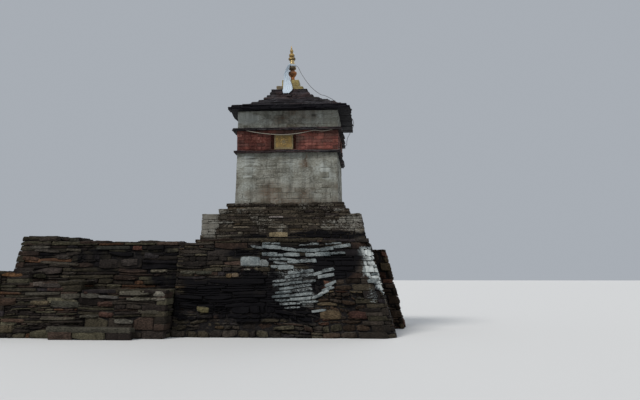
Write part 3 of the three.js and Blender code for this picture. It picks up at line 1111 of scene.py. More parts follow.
def grain_group() -> bpy.types.NodeTree:
    """Build the grain of split stone once: flecks, soft patches, rain streaks and surface height."""
    known = bpy.data.node_groups.get("split_grain")
    if known:
        return known
    group, shade, entry, leave = start_group("split_grain", {"Scale": 1.0, "Flatten": 3.0}, GRAIN_OUTPUTS)
    place = shade.node("TexCoord").outputs["Object"]
    stretch = shade.node("CombineXYZ", X=1.0, Y=1.0, Z=entry.outputs["Flatten"]).outputs[0]
    flat = shade.node("VectorMath", {"operation": "MULTIPLY"})
    shade.feed(flat.inputs[0], place)
    shade.feed(flat.inputs[1], stretch)
    sized = shade.darken(flat.outputs[0], entry.outputs["Scale"])
    fine = shade.node("TexNoise", Vector=sized, Scale=22.0, Detail=6.0, Roughness=0.68).outputs[0]
    broad = shade.node("TexNoise", Vector=place, Scale=2.3, Detail=5.0, Roughness=0.62).outputs[0]
    middle = shade.node("TexNoise", Vector=sized, Scale=6.0, Detail=3.0, Distortion=0.8).outputs[0]
    pits = shade.node("TexVoronoi", Vector=sized, Scale=38.0).outputs["Distance"]
    rain = shade.node("Mapping", Vector=place, Scale=(9.0, 9.0, 0.9)).outputs[0]
    streak = shade.node("TexNoise", Vector=rain, Scale=1.0, Detail=5.0, Roughness=0.6).outputs[0]
    patch = shade.math("ADD", shade.math("MULTIPLY", broad, 0.65), shade.math("MULTIPLY", fine, 0.35))
    height = shade.math("ADD", shade.math("MULTIPLY", fine, 0.6), shade.math("MULTIPLY", middle, 0.6))
    height = shade.math("ADD", height, shade.math("MULTIPLY", pits, 0.2))
    shade.wire(leave, Fleck=shade.span(fine, 0.3, 0.7), Patch=shade.span(patch, 0.34, 0.66),
               Streak=shade.span(streak, 0.42, 0.66), Height=height)
    return group


def cover_group() -> bpy.types.NodeTree:
    """Build the mask of a worn coat once: full where there is much of it, broken up at its edge."""
    known = bpy.data.node_groups.get("worn_cover")
    if known:
        return known
    inputs = {"Amount": 0.5, "Patch": 0.5, "Ragged": 0.6, "Soft": 0.12}
    group, shade, entry, leave = start_group("worn_cover", inputs, ("Mask",))
    uneven = shade.math("SUBTRACT", entry.outputs["Patch"], 0.5)
    uneven = shade.math("MULTIPLY", uneven, entry.outputs["Ragged"])
    level = shade.math("ADD", entry.outputs["Amount"], uneven)
    low = shade.math("SUBTRACT", 0.5, entry.outputs["Soft"])
    high = shade.math("ADD", 0.5, entry.outputs["Soft"])
    shade.wire(leave, Mask=shade.span(level, low, high))
    return group


@dataclass(frozen=True)
class Finish:
    """A finish that is made once, under its own name."""

    name: str

    def make(self) -> bpy.types.Material:
        """Give the material, building it the first time."""
        known = bpy.data.materials.get(self.name)
        if known:
            return known
        material = bpy.data.materials.new(self.name)
        material.use_nodes = True
        self.fill(Shader(material.node_tree))
        return material

    def fill(self, shade: Shader) -> None:
        """Leave the surface plain and pale, where a kind of finish has no way of its own."""
        shade.wire(shade.surface, Base_Color=(0.55, 0.55, 0.545), Roughness=0.95, Specular_IOR_Level=0.1)


@dataclass(frozen=True)
class StoneFinish(Finish):
    """Stone coloured by its own tint, under a wash, soot and painted shade, rust and dust where it is marked.
    """

    wash: Colour = (0.5, 0.53, 0.51)
    thin_wash: Colour = (0.055, 0.07, 0.075)
    chalk: float = 1.0
    # The colour of soot, also used for painted shade.
    soot_and_shade: Colour = (0.0045, 0.0042, 0.005)
    rust: Colour = (0.1, 0.05, 0.028)
    dust: Colour = (0.042, 0.038, 0.031)
    dusty: float = 0.5
    ragged: float = 0.85
    soft: float = 0.16
    gloss: float = 0.05
    streaks: float = 0.2
    scale: float = 1.0
    flatten: float = 3.0
    contrast: float = 0.5
    roughness: float = 0.86
    bump: float = 0.55

    def fill(self, shade: Shader) -> None:
        """Lay the coats over the tint, from dust to soot and painted shade.

        Args:
            shade: The material's shader.
        """
        fleck, patch, streak, height = shade.grain(self.scale, self.flatten)
        marks = shade.node("SeparateColor", Color=shade.attribute("marks")).outputs
        light = shade.span(fleck, 0.0, 1.0, 1 - self.contrast, 1 + self.contrast)
        tint = shade.attribute("tint")
        colour = shade.darken(tint, shade.math("MULTIPLY", light, shade.span(patch, 0, 1, 0.8, 1.2)))
        up = shade.node("SeparateXYZ", Vector=shade.node("NewGeometry").outputs["Normal"]).outputs[2]
        dust = shade.cover(shade.math("MULTIPLY", shade.span(up, 0.35, 0.95), self.dusty), patch, 0.7, 0.35)
        colour = shade.mix(dust, colour, self.dust)
        colour = shade.mix(shade.cover(marks[2], fleck, 0.7, 0.3), colour, self.rust)
        tone = shade.math("MULTIPLY", patch, shade.span(fleck, 0, 1, 0.55 * self.chalk, self.chalk))
        thick = shade.span(marks[0], 0.95, 1.2, 0.0, 0.7)
        chalk = shade.mix(shade.math("ADD", tone, thick), self.thin_wash, self.wash)
        both = shade.math("MULTIPLY", shade.math("ADD", fleck, patch), 0.5)
        washed = shade.cover(marks[0], both, self.ragged, self.soft)
        colour = shade.mix(washed, colour, chalk)
        colour = shade.darken(colour, shade.span(streak, 0.0, 1.0, 1.0, 1 - self.streaks))
        # Soot, and painted shade where a rule marks it, goes on last.
        colour = shade.mix(shade.cover(marks[1], patch, 0.55, 0.3), colour, self.soot_and_shade)
        shade.wire(shade.surface, Base_Color=colour, Specular_IOR_Level=self.gloss,
                   Roughness=shade.span(fleck, 0, 1, self.roughness - 0.12, self.roughness + 0.08))
        shade.bump(shade.math("ADD", height, shade.math("MULTIPLY", washed, 0.12)), self.bump, 0.012)


@dataclass(frozen=True)
class MetalFinish(Finish):
    """Weathered metal: bright where it is rubbed, dull and dark in the hollows."""

    bright: Colour = (0.5, 0.4, 0.2)
    dull: Colour = (0.2, 0.16, 0.09)
    wear: float = 0.5
    roughness: float = 0.36

    def fill(self, shade: Shader) -> None:
        """Mix bright and dull metal.

        Args:
            shade: The material's shader.
        """
        fleck, patch, _, height = shade.grain(1.6, 0.8)
        hollow = shade.node("SeparateColor", Color=shade.attribute("tint")).outputs[0]
        worn = shade.cover(shade.math("ADD", self.wear, shade.math("MULTIPLY", hollow, 0.5)), patch, 1.1, 0.3)
        worn = shade.math("MAXIMUM", worn, shade.math("MULTIPLY", shade.span(fleck, 0.25, 0.8), 0.35))
        shade.wire(shade.surface, Base_Color=shade.mix(worn, self.bright, self.dull),
                   Metallic=shade.span(worn, 0.0, 1.0, 1.0, 0.45),
                   Roughness=shade.span(worn, 0.0, 1.0, self.roughness, self.roughness + 0.34))
        shade.bump(height, 0.22, 0.004)


@dataclass(frozen=True)
class PaintFinish(Finish):
    """Old paint on plaster or wood: its tint broken up by dirt, bare spots and streaks of rain."""

    bare: Colour = (0.1, 0.075, 0.04)
    wear: float = 0.3
    streaks: float = 0.5
    bump: float = 0.3

    def fill(self, shade: Shader) -> None:
        """Lay dirt over the tint and wear it through to the bare ground.

        Args:
            shade: The material's shader.
        """
        fleck, patch, streak, height = shade.grain(1.3, 1.2)
        worn = shade.cover(self.wear, fleck, 0.8, 0.16)
        colour = shade.darken(shade.attribute("tint"), shade.span(patch, 0, 1, 0.75, 1.2))
        dirt = tuple(0.6 * c for c in self.bare)
        colour = shade.mix(shade.math("MULTIPLY", streak, self.streaks), colour, dirt)
        shade.wire(shade.surface, Base_Color=shade.mix(worn, colour, self.bare),
                   Roughness=shade.span(worn, 0.0, 1.0, 0.72, 0.92))
        shade.bump(shade.math("SUBTRACT", height, shade.math("MULTIPLY", worn, 0.25)), self.bump, 0.006)


@dataclass(frozen=True)
class FibreFinish(Finish):
    """Woven cloth or twisted fibre, with painted shade in its folds and between its strands, and patches of
    dirt.
    """

    colour: Colour = (0.5, 0.5, 0.5)
    shadow: Colour = (0.1, 0.1, 0.1)
    woven: bool = False

    def fill(self, shade: Shader) -> None:
        """Colour the fibre and raise its weave or its hairs.

        Args:
            shade: The material's shader.
        """
        place = shade.node("TexCoord").outputs["Object"]
        hollow = shade.node("SeparateColor", Color=shade.attribute("tint")).outputs[0]
        cloud = shade.node("TexNoise", Vector=place, Scale=8.0, Detail=4.0).outputs[0]
        dirt = shade.span(cloud, 0.45, 0.78, 0.0, 0.4)
        # Painted shade in the folds and between the strands, with the dirt patches added.
        dark = shade.math("ADD", shade.math("MULTIPLY", hollow, 0.7), dirt)
        shade.wire(shade.surface, Base_Color=shade.mix(dark, self.colour, self.shadow))
        if self.woven:
            threads = [shade.node("TexWave", {"bands_direction": way}, Vector=place, Scale=190.0).outputs[1]
                       for way in "XZ"]
            relief = shade.math("MULTIPLY", *threads)
            shade.wire(shade.surface, Sheen_Weight=0.3, Sheen_Roughness=0.4)
        else:
            relief = shade.node("TexNoise", Vector=place, Scale=260.0, Detail=3.0).outputs[0]
        shade.wire(shade.surface, Roughness=shade.span(relief, 0.2, 0.8, 0.94, 0.8))
        shade.bump(relief, 0.4, 0.001)


SCHIST = StoneFinish("dry_laid_schist", chalk=0.45)
BROWN_STONE = StoneFinish("weathered_brown_stone", wash=(0.2, 0.195, 0.172), thin_wash=(0.1, 0.092, 0.076),
                          dust=(0.06, 0.052, 0.04), dusty=0.5)
LIMEWASHED = StoneFinish("limewashed_stone", wash=(0.31, 0.325, 0.3), thin_wash=(0.14, 0.138, 0.112),
                         rust=(0.1, 0.058, 0.034), soot_and_shade=(0.03, 0.028, 0.024), dusty=0.3, streaks=0.26,
                         ragged=0.5, soft=0.45, contrast=0.17, flatten=1.6, bump=0.25)
RED_WASHED = StoneFinish("red_washed_stone", wash=(0.22, 0.19, 0.16), thin_wash=(0.13, 0.1, 0.085),
                         rust=(0.075, 0.045, 0.036), dusty=0.3, streaks=0.35, ragged=0.6, soft=0.3,
                         contrast=0.28, flatten=1.8, bump=0.3)
# Its soot colour also paints shade on the eave's lowest edges.
SLATE = StoneFinish("split_slate", dust=(0.05, 0.047, 0.052), rust=(0.054, 0.034, 0.033),
                    soot_and_shade=(0.0035, 0.0031, 0.005), flatten=5.0, contrast=0.45, roughness=0.72, gloss=0.1)
GILT = MetalFinish("weathered_gilt", bright=(0.62, 0.48, 0.24), dull=(0.24, 0.19, 0.11), wear=0.4,
                   roughness=0.34)
# A darker copy of the gilt for the lotus, rings, jewel and tip: tarnish, and painted shade.
DARK_GILT = MetalFinish("tarnished_and_shaded_gilt", bright=(0.4, 0.27, 0.1), dull=(0.085, 0.06, 0.032), wear=0.52)
COPPER = MetalFinish("bared_copper", bright=(0.34, 0.135, 0.05), dull=(0.085, 0.045, 0.028), wear=0.44,
                     roughness=0.42)
PANEL_PAINT = PaintFinish("faded_panel_paint", streaks=0.35, bump=0.2)
OCHRE_PAINT = PaintFinish("ochre_limewash", bare=(0.13, 0.1, 0.06), wear=0.34)
WHITE_CLOTH = FibreFinish("white_scarf", colour=(0.45, 0.52, 0.58), shadow=(0.22, 0.27, 0.32), woven=True)
ROPE_FIBRE = FibreFinish("rope_fibre", colour=(0.3, 0.275, 0.225), shadow=(0.07, 0.06, 0.05))
# A darker copy of the rope: weathering, and painted shade.
DARK_ROPE = FibreFinish("weathered_and_shaded_rope", colour=(0.07, 0.062, 0.06), shadow=(0.02, 0.018, 0.018))
RUBBLE_FILL = StoneFinish("rubble_fill")

TERRACE_TINTS = Palette(
    ((15, 12, 10.5), (22, 18, 14.5), (28, 24, 16.5), (29, 20, 15.5), (19, 16, 16.5), (40, 36, 23.5),
    (54, 49, 33), (45, 24, 14)), (5, 5, 4, 3, 2, 2.2, 0.9, 0.9), 0.26)
BASE_TINTS = Palette(
    ((15, 12.5, 11), (22, 18, 14.5), (29, 24, 16.5), (29, 19, 14.5), (19, 16, 16.5), (39, 34, 23),
    (52, 37, 22)), (5, 5, 4, 2.5, 1.5, 2, 0.9), 0.26)
RUBBLE_TINTS = Palette(
    ((25, 17.2, 12), (38, 25, 16.5), (21, 15.8, 12), (50, 38, 23), (41, 20.5, 14), (29, 25.5, 17)),
     (4, 3, 4, 1, 2.4, 2), 0.27)
PAINTED_TINTS = Palette(
    ((30, 30, 29), (21, 20, 20), (48, 48, 46)), (3, 3, 1), 0.2)
FOOTING_TINTS = Palette(((44, 41, 32),), (1,), 0.05)
PLINTH_TINTS = Palette(
    ((35, 28, 21), (45, 37, 27), (26, 21, 17), (60, 52, 40), (25, 20, 18), (52, 39, 25)),
     (4, 4, 3, 2, 1, 1), 0.22)
SHAFT_TINTS = Palette(
    ((150, 145, 120), (180, 175, 148), (125, 115, 90), (100, 90, 68)), (4, 4, 2, 0.6), 0.08)
NECK_TINTS = Palette(
    ((160, 162, 139), (196, 200, 174), (128, 122, 102), (104, 94, 72)), (4, 3, 3, 1), 0.1)
RED_TINTS = Palette(
    ((140, 49, 38), (119, 44, 36), (98, 45, 37), (157, 60, 47)), (4, 4, 3, 1), 0.13)
SLATE_TINTS = Palette(
    ((14, 13, 15), (21, 18, 21), (29, 26, 28), (29, 20, 20), (38, 34, 34)), (5, 5, 3, 3, 1.2), 0.2)

WALL = Bond()
LAID = Bond(joint=0.002, relief=0.004, bevel=0.014, corner=0.05, taper=0.45, depth=0.12, tilt=0.02)
BOULDER = Bond(joint=0.0, relief=0.004, rough=0.006, bevel=0.07, corner=0.1, taper=0.3, depth=0.16, tilt=0.02)
RUBBLE = Bond(course=(0.12, 0.26), stretch=(0.4, 0.9), layer=(0.06, 0.14), stone=(0.13, 0.42), blocks=0.4,
              joint=0.008, relief=0.028, rough=0.008, bevel=0.034, corner=0.06, taper=0.5, tilt=0.09,
              wander=0.05)
THIN = Bond(layer=(0.042, 0.06), stone=(0.16, 0.42), blocks=0.0, relief=0.008, taper=0.35, bevel=0.01,
            corner=0.02)
CAP_EDGE = Bond(course=(0.04, 0.06), stretch=(0.6, 1.4), layer=(0.04, 0.06), stone=(0.25, 0.8), blocks=0.0,
                taper=0.2, depth=0.3)
PLINTH_BOND = Bond(course=(0.1, 0.17), stretch=(0.5, 1.4), layer=(0.045, 0.09), stone=(0.14, 0.5),
                   quoin=(0.2, 0.4), relief=0.01, rough=0.004, bevel=0.01, corner=0.022, taper=0.25,
                   wander=0.01)
SHAFT_BOND = Bond(course=(0.07, 0.13), stretch=(0.5, 1.4), layer=(0.05, 0.12), stone=(0.2, 0.8),
                  quoin=(0.18, 0.4), blocks=0.15, joint=0.0002, relief=0.003, rough=0.002, bevel=0.003,
                  corner=0.004, taper=0.03, wander=0.016, tilt=0.004, shade=0.35)
SLATES = Bond(stretch=(0.6, 1.6), layer=(1.0, 1.0), stone=(0.25, 0.7), quoin=(0.3, 0.55), blocks=0.0,
              joint=0.001, relief=0.015, rough=0.005, bevel=0.006, corner=0.03, taper=0.12, depth=0.16,
              wander=0.0, tilt=0.05, droop=0.07)

WHITE = (45, 47, 47)

# The air between two pieces that lie on each other.
JOINT = 0.0003

# How deep the flat stones lie that close a wall of the base or the terrace.
CAP_DEPTH = 0.04

# Chosen stones: both ends, the heights of the middle there and the thickness, all in millimetres,
# then the paint in per cent or the tint in thousandths.
PAINTED_STONES = (
    (-480, -270, 2132, 2140, 45, 65), (-270, -50, 2130, 2125, 45, 69), (390, 630, 2085, 2098, 45, 47),
    (630, 860, 2108, 2118, 60, 52), (1000, 1170, 2108, 2115, 40, 47), (1160, 1380, 2125, 2132, 50, 52),
    (-740, -440, 2068, 2020, 72, 73), (-470, -20, 2058, 2033, 104, 80), (-30, 360, 2014, 1976, 96, 77),
    (350, 650, 1970, 1964, 95, 73), (630, 900, 1960, 1974, 86, 77), (890, 1200, 1981, 2022, 94, 73),
    (1190, 1600, 2036, 2090, 84, 69), (-470, -340, 1881, 1881, 94, 69), (-350, -100, 1876, 1871, 106, 80),
    (-110, 40, 1857, 1852, 72, 60), (40, 420, 1876, 1858, 95, 73), (550, 780, 1856, 1867, 94, 77),
    (760, 1130, 1874, 1882, 104, 80), (1110, 1480, 1889, 1914, 64, 65), (-300, -40, 1769, 1752, 62, 65),
    (-40, 340, 1773, 1731, 64, 60), (-200, 130, 1688, 1662, 60, 60), (130, 430, 1694, 1712, 85, 69),
    (420, 690, 1719, 1730, 90, 65), (680, 810, 1730, 1725, 92, 73), (-250, -80, 1584, 1590, 80, 73),
    (-90, 290, 1565, 1588, 115, 77), (160, 450, 1441, 1464, 78, 65), (80, 450, 1350, 1382, 80, 60),
    (440, 750, 1473, 1496, 80, 60), (440, 720, 1384, 1405, 80, 55), (730, 960, 1405, 1459, 82, 65),
    (940, 1230, 1482, 1541, 84, 85), (840, 1230, 1346, 1414, 84, 80), (-200, 130, 1245, 1277, 60, 60),
    (170, 500, 1285, 1310, 55, 50), (-190, 200, 1164, 1196, 64, 62), (170, 500, 1210, 1240, 62, 60),
    (500, 800, 1240, 1270, 60, 45), (-40, 350, 1078, 1119, 68, 68), (340, 710, 1133, 1176, 64, 60),
    (-130, 270, 993, 1025, 68, 66), (260, 730, 1034, 1080, 66, 60), (-200, 220, 906, 931, 66, 62),
    (210, 730, 936, 981, 70, 65), (-120, 230, 819, 833, 62, 60), (220, 710, 842, 879, 68, 70),
    (-10, 460, 740, 767, 58, 58), (450, 870, 776, 804, 52, 60), (100, 460, 656, 673, 45, 42),
    (720, 960, 874, 964, 70, 85), (850, 1100, 955, 1044, 70, 85), (940, 1180, 1035, 1134, 70, 90),
    (1010, 1270, 1147, 1246, 75, 90), (1040, 1230, 1055, 1120, 50, 70), (1980, 2200, 1256, 1269, 92, 100),
    (720, 1050, 572, 622, 60, 80),
)
PLAIN_STONES = (
    (-2370, -2000, 1460, 1460, 85, (48, 45, 34)), (-2010, -1600, 1446, 1446, 85, (43, 42, 32)),
    (-1280, -1140, 1382, 1384, 115, (62, 43, 24)), (-1140, -990, 1391, 1396, 115, (96, 72, 48)),
    (-870, -720, 1520, 1524, 38, (96, 91, 77)), (880, 1400, 500, 520, 240, (58, 42, 25)),
    (1550, 1950, 520, 500, 200, (46, 24, 19)), (-1900, -1620, 620, 600, 160, (67, 58, 30)),
)


@dataclass
class Base:
    """The battered base: three retaining walls with a cut front corner, and the stones on top."""

    left: float = -2.45
    foot: Pair = (2.63, 2.6)
    top: Pair = (2.03, 2.03)
    wall_top: float = 2.15
    corner_cut: float = 0.25
    cap: Four = (-2.06, 2.01, 2.01, 2.25)
    terrace_depth: float = 1.75

    def plan(self, right: float, depth: float) -> Plan:
        """Give the outline of the walls at one level."""
        cut = self.corner_cut
        return [(self.left, -depth), (right - cut, -depth), (right, cut - depth), (right, depth),
                (self.left, depth)]

    def behind_terrace(self, points: Array) -> Array:
        """Say which stones of the left side the terrace hides."""
        return (points[..., 0] < self.left + 0.01) & (np.abs(points[..., 1]) < self.terrace_depth)

    def rule(self) -> Rule:
        """Say where soot, with painted shade in it, and paint lie on the front."""
        # These soot stains also carry painted shade over the darkest parts of the front.
        stains = stained(
            Coat.SOOT_AND_SHADE, (-1.35, 0.85, 1.2, 0.46, 1.2), (-0.7, 1.0, 0.66, 0.5, 1.2),
            (1.25, 1.6, 0.72, 0.3, 1.15), (0.45, 0.52, 0.8, 0.16, 0.9), (0.85, 1.16, 0.15, 0.2, 1.0),
            (0.3, 1.95, 1.4, 0.3, 0.7), (-0.35, 0.62, 0.75, 0.26, 1.1))
        stains += stained(Coat.WASH, (0.28, 0.98, 0.55, 0.42, 0.4), (0.5, 1.44, 0.62, 0.14, 0.4),
                          (2.12, 1.0, 0.12, 0.2, 0.4))

        def facet(points: Array) -> Array:
            """Limewash on the cut corner, narrowing towards its foot, laid past full strength, partly as
            painted light.
            """
            marks = np.zeros(points.shape)
            drop = self.wall_top - points[..., 2]
            inward = (self.top[0] + 0.279 * drop - points[..., 0]) / self.corner_cut
            reach = 1.1 * np.clip((points[..., 2] - 0.9) / 0.5, -0.2, 1) + 0.05 * ripple(points, 0.3, 19)
            front = (points[..., 1] < 0.32 - self.top[1] - 0.265 * drop) & (drop > 0.1)
            # Strength 1.2 makes the corner brighter than plain limewash: painted light.
            marks[..., 0] = np.where(front, 1.2 * np.clip((reach - inward) / 0.15 + 0.5, 0, 1), 0)
            return marks

        return coat_rule(stains, facet)

    def build(self) -> None:
        """Lay the walls with the painted stones, then the cap course and the rubble at the right."""
        rule = self.rule()
        foot, top = self.plan(*self.foot), self.plan(*self.top)
        zones = (
            Zone(0.86, 3.0, 0.0, 1.3, RUBBLE, RUBBLE_TINTS), Zone(-3.0, 0.86, 0.0, 0.55, RUBBLE, BASE_TINTS),
            Zone(-0.25, 0.86, 0.55, 1.52, THIN, PAINTED_TINTS),
        )
        painted = [Slab.measured((*row[:5], WHITE), row[5] / 100, 0.014) for row in PAINTED_STONES]
        boulders = [Slab.measured(row, 0.0, 0.02) for row in PLAIN_STONES]
        boulders += [Slab.measured((-970, -500, 1705, 1712, 235, WHITE), 1.08, 0.045),
                     Slab.measured((-530, -310, 1674, 1670, 190, (130, 135, 130)), 0.45, 0.025)]
        lay_piece("base_front_stones", SCHIST, "schist", ("base_front_wall",),
                  Masonry(foot, top, 0.0, self.wall_top, WALL, BASE_TINTS, 11, rule, (0, 1),
                          ((painted, LAID), (boulders, BOULDER)), zones=zones))
        left, right, depth, high = self.cap
        lay_piece("base_side_stones", SCHIST, "schist", ("base_back_wall", "base_right_wall"),
                  Masonry(foot, top, 0.0, self.wall_top, WALL, BASE_TINTS, 12, rule, (2, 3, 4),
                          omit=self.behind_terrace),
                  Paving(centred(self.left, left + 0.1, self.top[1]), self.wall_top, BASE_TINTS, 17))
        plan = centred(left, right, depth)
        lay_piece("base_cap_stones", SCHIST, "brown_stone", ("base_cap_course",),
                  Masonry(plan, plan, self.wall_top, high - CAP_DEPTH, CAP_EDGE, BASE_TINTS, 13),
                  Paving(plan, high, BASE_TINTS, 14, covered=(-1.9, 1.85, -1.85, 1.85)))
        top = rectangle(2.0, 2.46, 0.5, 2.0)
        lay_piece("right_rubble", SCHIST, "rubble", ("right_buttress",),
                  Masonry(rectangle(2.58, 2.95, 0.24, 2.26), top, 0.0, 2.07 - CAP_DEPTH,
                          replace(RUBBLE, quoin=(0.15, 0.3)), RUBBLE_TINTS, 15, sides=(0, 1, 2)),
                  Paving(top, 2.07, RUBBLE_TINTS, 16))


TERRACE_STONES = (
    (-6110, -5600, 2060, 2060, 80, (39, 35, 29)), (-5990, -5340, 1991, 1950, 70, (31, 27, 23)),
    (-5810, -4850, 1703, 1640, 70, (37, 32, 25)), (-6260, -5840, 1800, 1780, 100, (44, 26, 18)),
    (-4470, -3640, 2040, 2040, 90, (26, 26, 22)), (-3580, -3340, 2040, 2030, 110, (52, 24, 18)),
    (-5210, -4830, 2000, 1980, 70, (34, 30, 23)), (-3110, -2700, 1489, 1489, 70, (52, 46, 34)),
)
TERRACE_BLOCKS = (
    (-4400, -3880, 1654, 1654, 250, (23, 19, 17)), (-3870, -3400, 1677, 1700, 200, (24, 20, 18)),
    (-5500, -5100, 1830, 1820, 130, (27, 23, 20)), (-3300, -2900, 1860, 1840, 170, (18, 16, 16)),
)
LEDGE_STONES = (
    (-6300, -5760, 1410, 1400, 100, (91, 48, 23)), (-5550, -5180, 1200, 1200, 100, (58, 48, 41)),
    (-5400, -4860, 1170, 1160, 100, (30, 25, 22)), (-3540, -2790, 1000, 1000, 110, (58, 53, 41)),
    (-5690, -4880, 970, 990, 70, (41, 37, 29)), (-4400, -3980, 930, 950, 120, (62, 58, 48)),
    (-4880, -4420, 920, 930, 120, (53, 48, 38)), (-4000, -3540, 920, 900, 70, (77, 72, 65)),
    (-3360, -2810, 860, 860, 68, (67, 62, 48)), (-2820, -2470, 860, 870, 68, (67, 60, 48)),
    (-5100, -4420, 760, 730, 150, (36, 35, 27)), (-4400, -3960, 479, 494, 68, (48, 44, 34)),
    (-6210, -5650, 397, 380, 85, (43, 28, 20)), (-5300, -4500, 420, 440, 70, (48, 42, 31)),
    (-3620, -3180, 387, 368, 110, (62, 58, 48)), (-3100, -2600, 600, 580, 90, (36, 32, 24)),
)
LEDGE_BLOCKS = (
    (-4380, -4000, 1000, 1000, 100, (36, 22, 18)), (-2780, -2470, 980, 980, 150, (95, 88, 72)),
    (-6520, -5900, 800, 800, 210, (38, 25, 18)), (-5560, -5120, 790, 760, 130, (54, 43, 27)),
    (-4020, -3650, 756, 757, 140, (38, 22, 17)), (-3980, -3640, 538, 510, 140, (50, 27, 21)),
    (-6300, -5880, 200, 200, 200, (45, 36, 23)), (-5200, -4800, 1080, 1080, 120, (36, 22, 18)),
)


def chosen_slabs(thin: Sequence, thick: Sequence, low: float = 0.0, high: float = math.inf) -> list:
    """Give the chosen stones of two tables that lie between two heights, with the bond of each table."""
    return [([Slab.measured(row) for row in rows if low <= row[2] / TABLE_UNIT < high], bond)
            for rows, bond in ((thin, LAID), (thick, BOULDER))]


@dataclass
class Terrace:
    """The terrace on the left: its walls, its cap course, the stack at its end and the ledge in front."""

    ends: Pair = (-6.72, -6.33)
    depths: Pair = (2.33, 2.01)
    right: float = -2.45
    wall_top: float = 2.1
    cap_top: float = 2.2
    stack: Four = (-6.32, -5.45, 1.96, 2.35)
    ledge_steps: tuple[Triple, ...] = (
        (-6.74, -5.62, 1.48), (-5.62, -4.4, 1.26), (-4.4, -2.46, 1.075))
    ledge_front: float = -3.05
    pavers: Pavers = Pavers(relief=0.014, rough=0.007, bevel=0.016, depth=0.07, wander=0.02)
    paver_depth: float = 0.05

    def behind_ledge(self, points: Array) -> Array:
        """Say which stones of the front the ledge hides."""
        low = (points[..., 1] < -2.1) & (points[..., 2] < 0.8)
        return low & (points[..., 0] > 0.6 - points[..., 2] * 0.2 + self.ends[0])

    def build(self) -> None:
        """Lay the walls, the flat stones on them, and the ledge."""
        foot, top = (centred(end, self.right, depth) for end, depth in zip(self.ends, self.depths))
        soot_and_shade = stained(Coat.SOOT_AND_SHADE, (-3.4, 1.85, 1.8, 0.36, 0.62), (-2.6, 1.4, 0.6, 0.5, 0.6),
                       (-5.4, 1.95, 1.0, 0.4, 0.52))
        lay_piece("terrace_stones", SCHIST, "schist",
                  ("terrace_front_wall", "terrace_back_wall", "terrace_end_wall"),
                  Masonry(foot, top, 0.0, self.wall_top, WALL, TERRACE_TINTS, 21, coat_rule(soot_and_shade), (0, 2, 3),
                          chosen_slabs(TERRACE_STONES, TERRACE_BLOCKS), omit=self.behind_ledge))
        lay_piece("terrace_cap_stones", SCHIST, "schist", ("terrace_cap_course",),
                  Masonry(top, top, self.wall_top, self.cap_top - CAP_DEPTH, CAP_EDGE, TERRACE_TINTS, 23,
                          sides=(0, 2, 3)),
                  Paving(top, self.cap_top, TERRACE_TINTS, 24, self.pavers, covered=(-6.2, -5.6, -1.8, 1.8)))
        left, right, depth, high = self.stack
        plan = centred(left, right, depth)
        lay_piece("terrace_end_stones", SCHIST, "schist", ("terrace_stack",),
                  Masonry(plan, plan, self.wall_top, high - self.paver_depth, replace(WALL, blocks=0.1),
                          TERRACE_TINTS, 25),
                  Paving(plan, high, TERRACE_TINTS, 26, self.pavers))
        self._ledge()

    def _ledge(self) -> None:
        """Lay the lower step in front, in three heights, and the long slab at its foot."""
        works = []
        batter = (self.depths[0] - self.depths[1]) / self.wall_top
        start, below = self.ledge_steps[0][0], 0.0
        for number, (left, right, high) in enumerate(reversed(self.ledge_steps)):
            above = high - self.paver_depth
            low, top = (rectangle(start, right, self.ledge_front + 0.1 * z, -self.depths[0] + batter * z)
                        for z in (below, above))
            works.append(Masonry(low, top, below, above, WALL, TERRACE_TINTS, 31 + number, sides=(0, 1, 3),
                                 chosen=chosen_slabs(LEDGE_STONES, LEDGE_BLOCKS, below, above)))
            floor = rectangle(left, right, top[0][1], top[2][1])
            works.append(Paving(floor, high, TERRACE_TINTS, 51 + number, self.pavers))
            below = above
        lay_piece("ledge_stones", SCHIST, "schist", ("ledge_left", "ledge_middle", "ledge_right"), *works)
        plan = rectangle(-4.95, -3.1, -3.38, self.ledge_front)
        slabs = Pavers(size=(1.8, 0.4), relief=0.002, bevel=0.035, rough=0.007, depth=0.11, around=16)
        lay_piece("footing_slabs", SCHIST, "brown_stone", ("ledge_footing_slab",),
                  Masonry(plan, plan, 0.0, 0.18, replace(WALL, layer=(0.07, 0.12), blocks=0.4), TERRACE_TINTS,
                          61, sides=(0, 1, 3)),
                  Paving(plan, 0.27, FOOTING_TINTS, 62, slabs))


PLINTH_STONES = (
    (-350, 120, 2345, 2345, 120, (120, 96, 58)), (-350, 0, 2760, 2765, 50, (150, 130, 120)),
    (-1200, -800, 2520, 2520, 50, (110, 92, 68)),
)


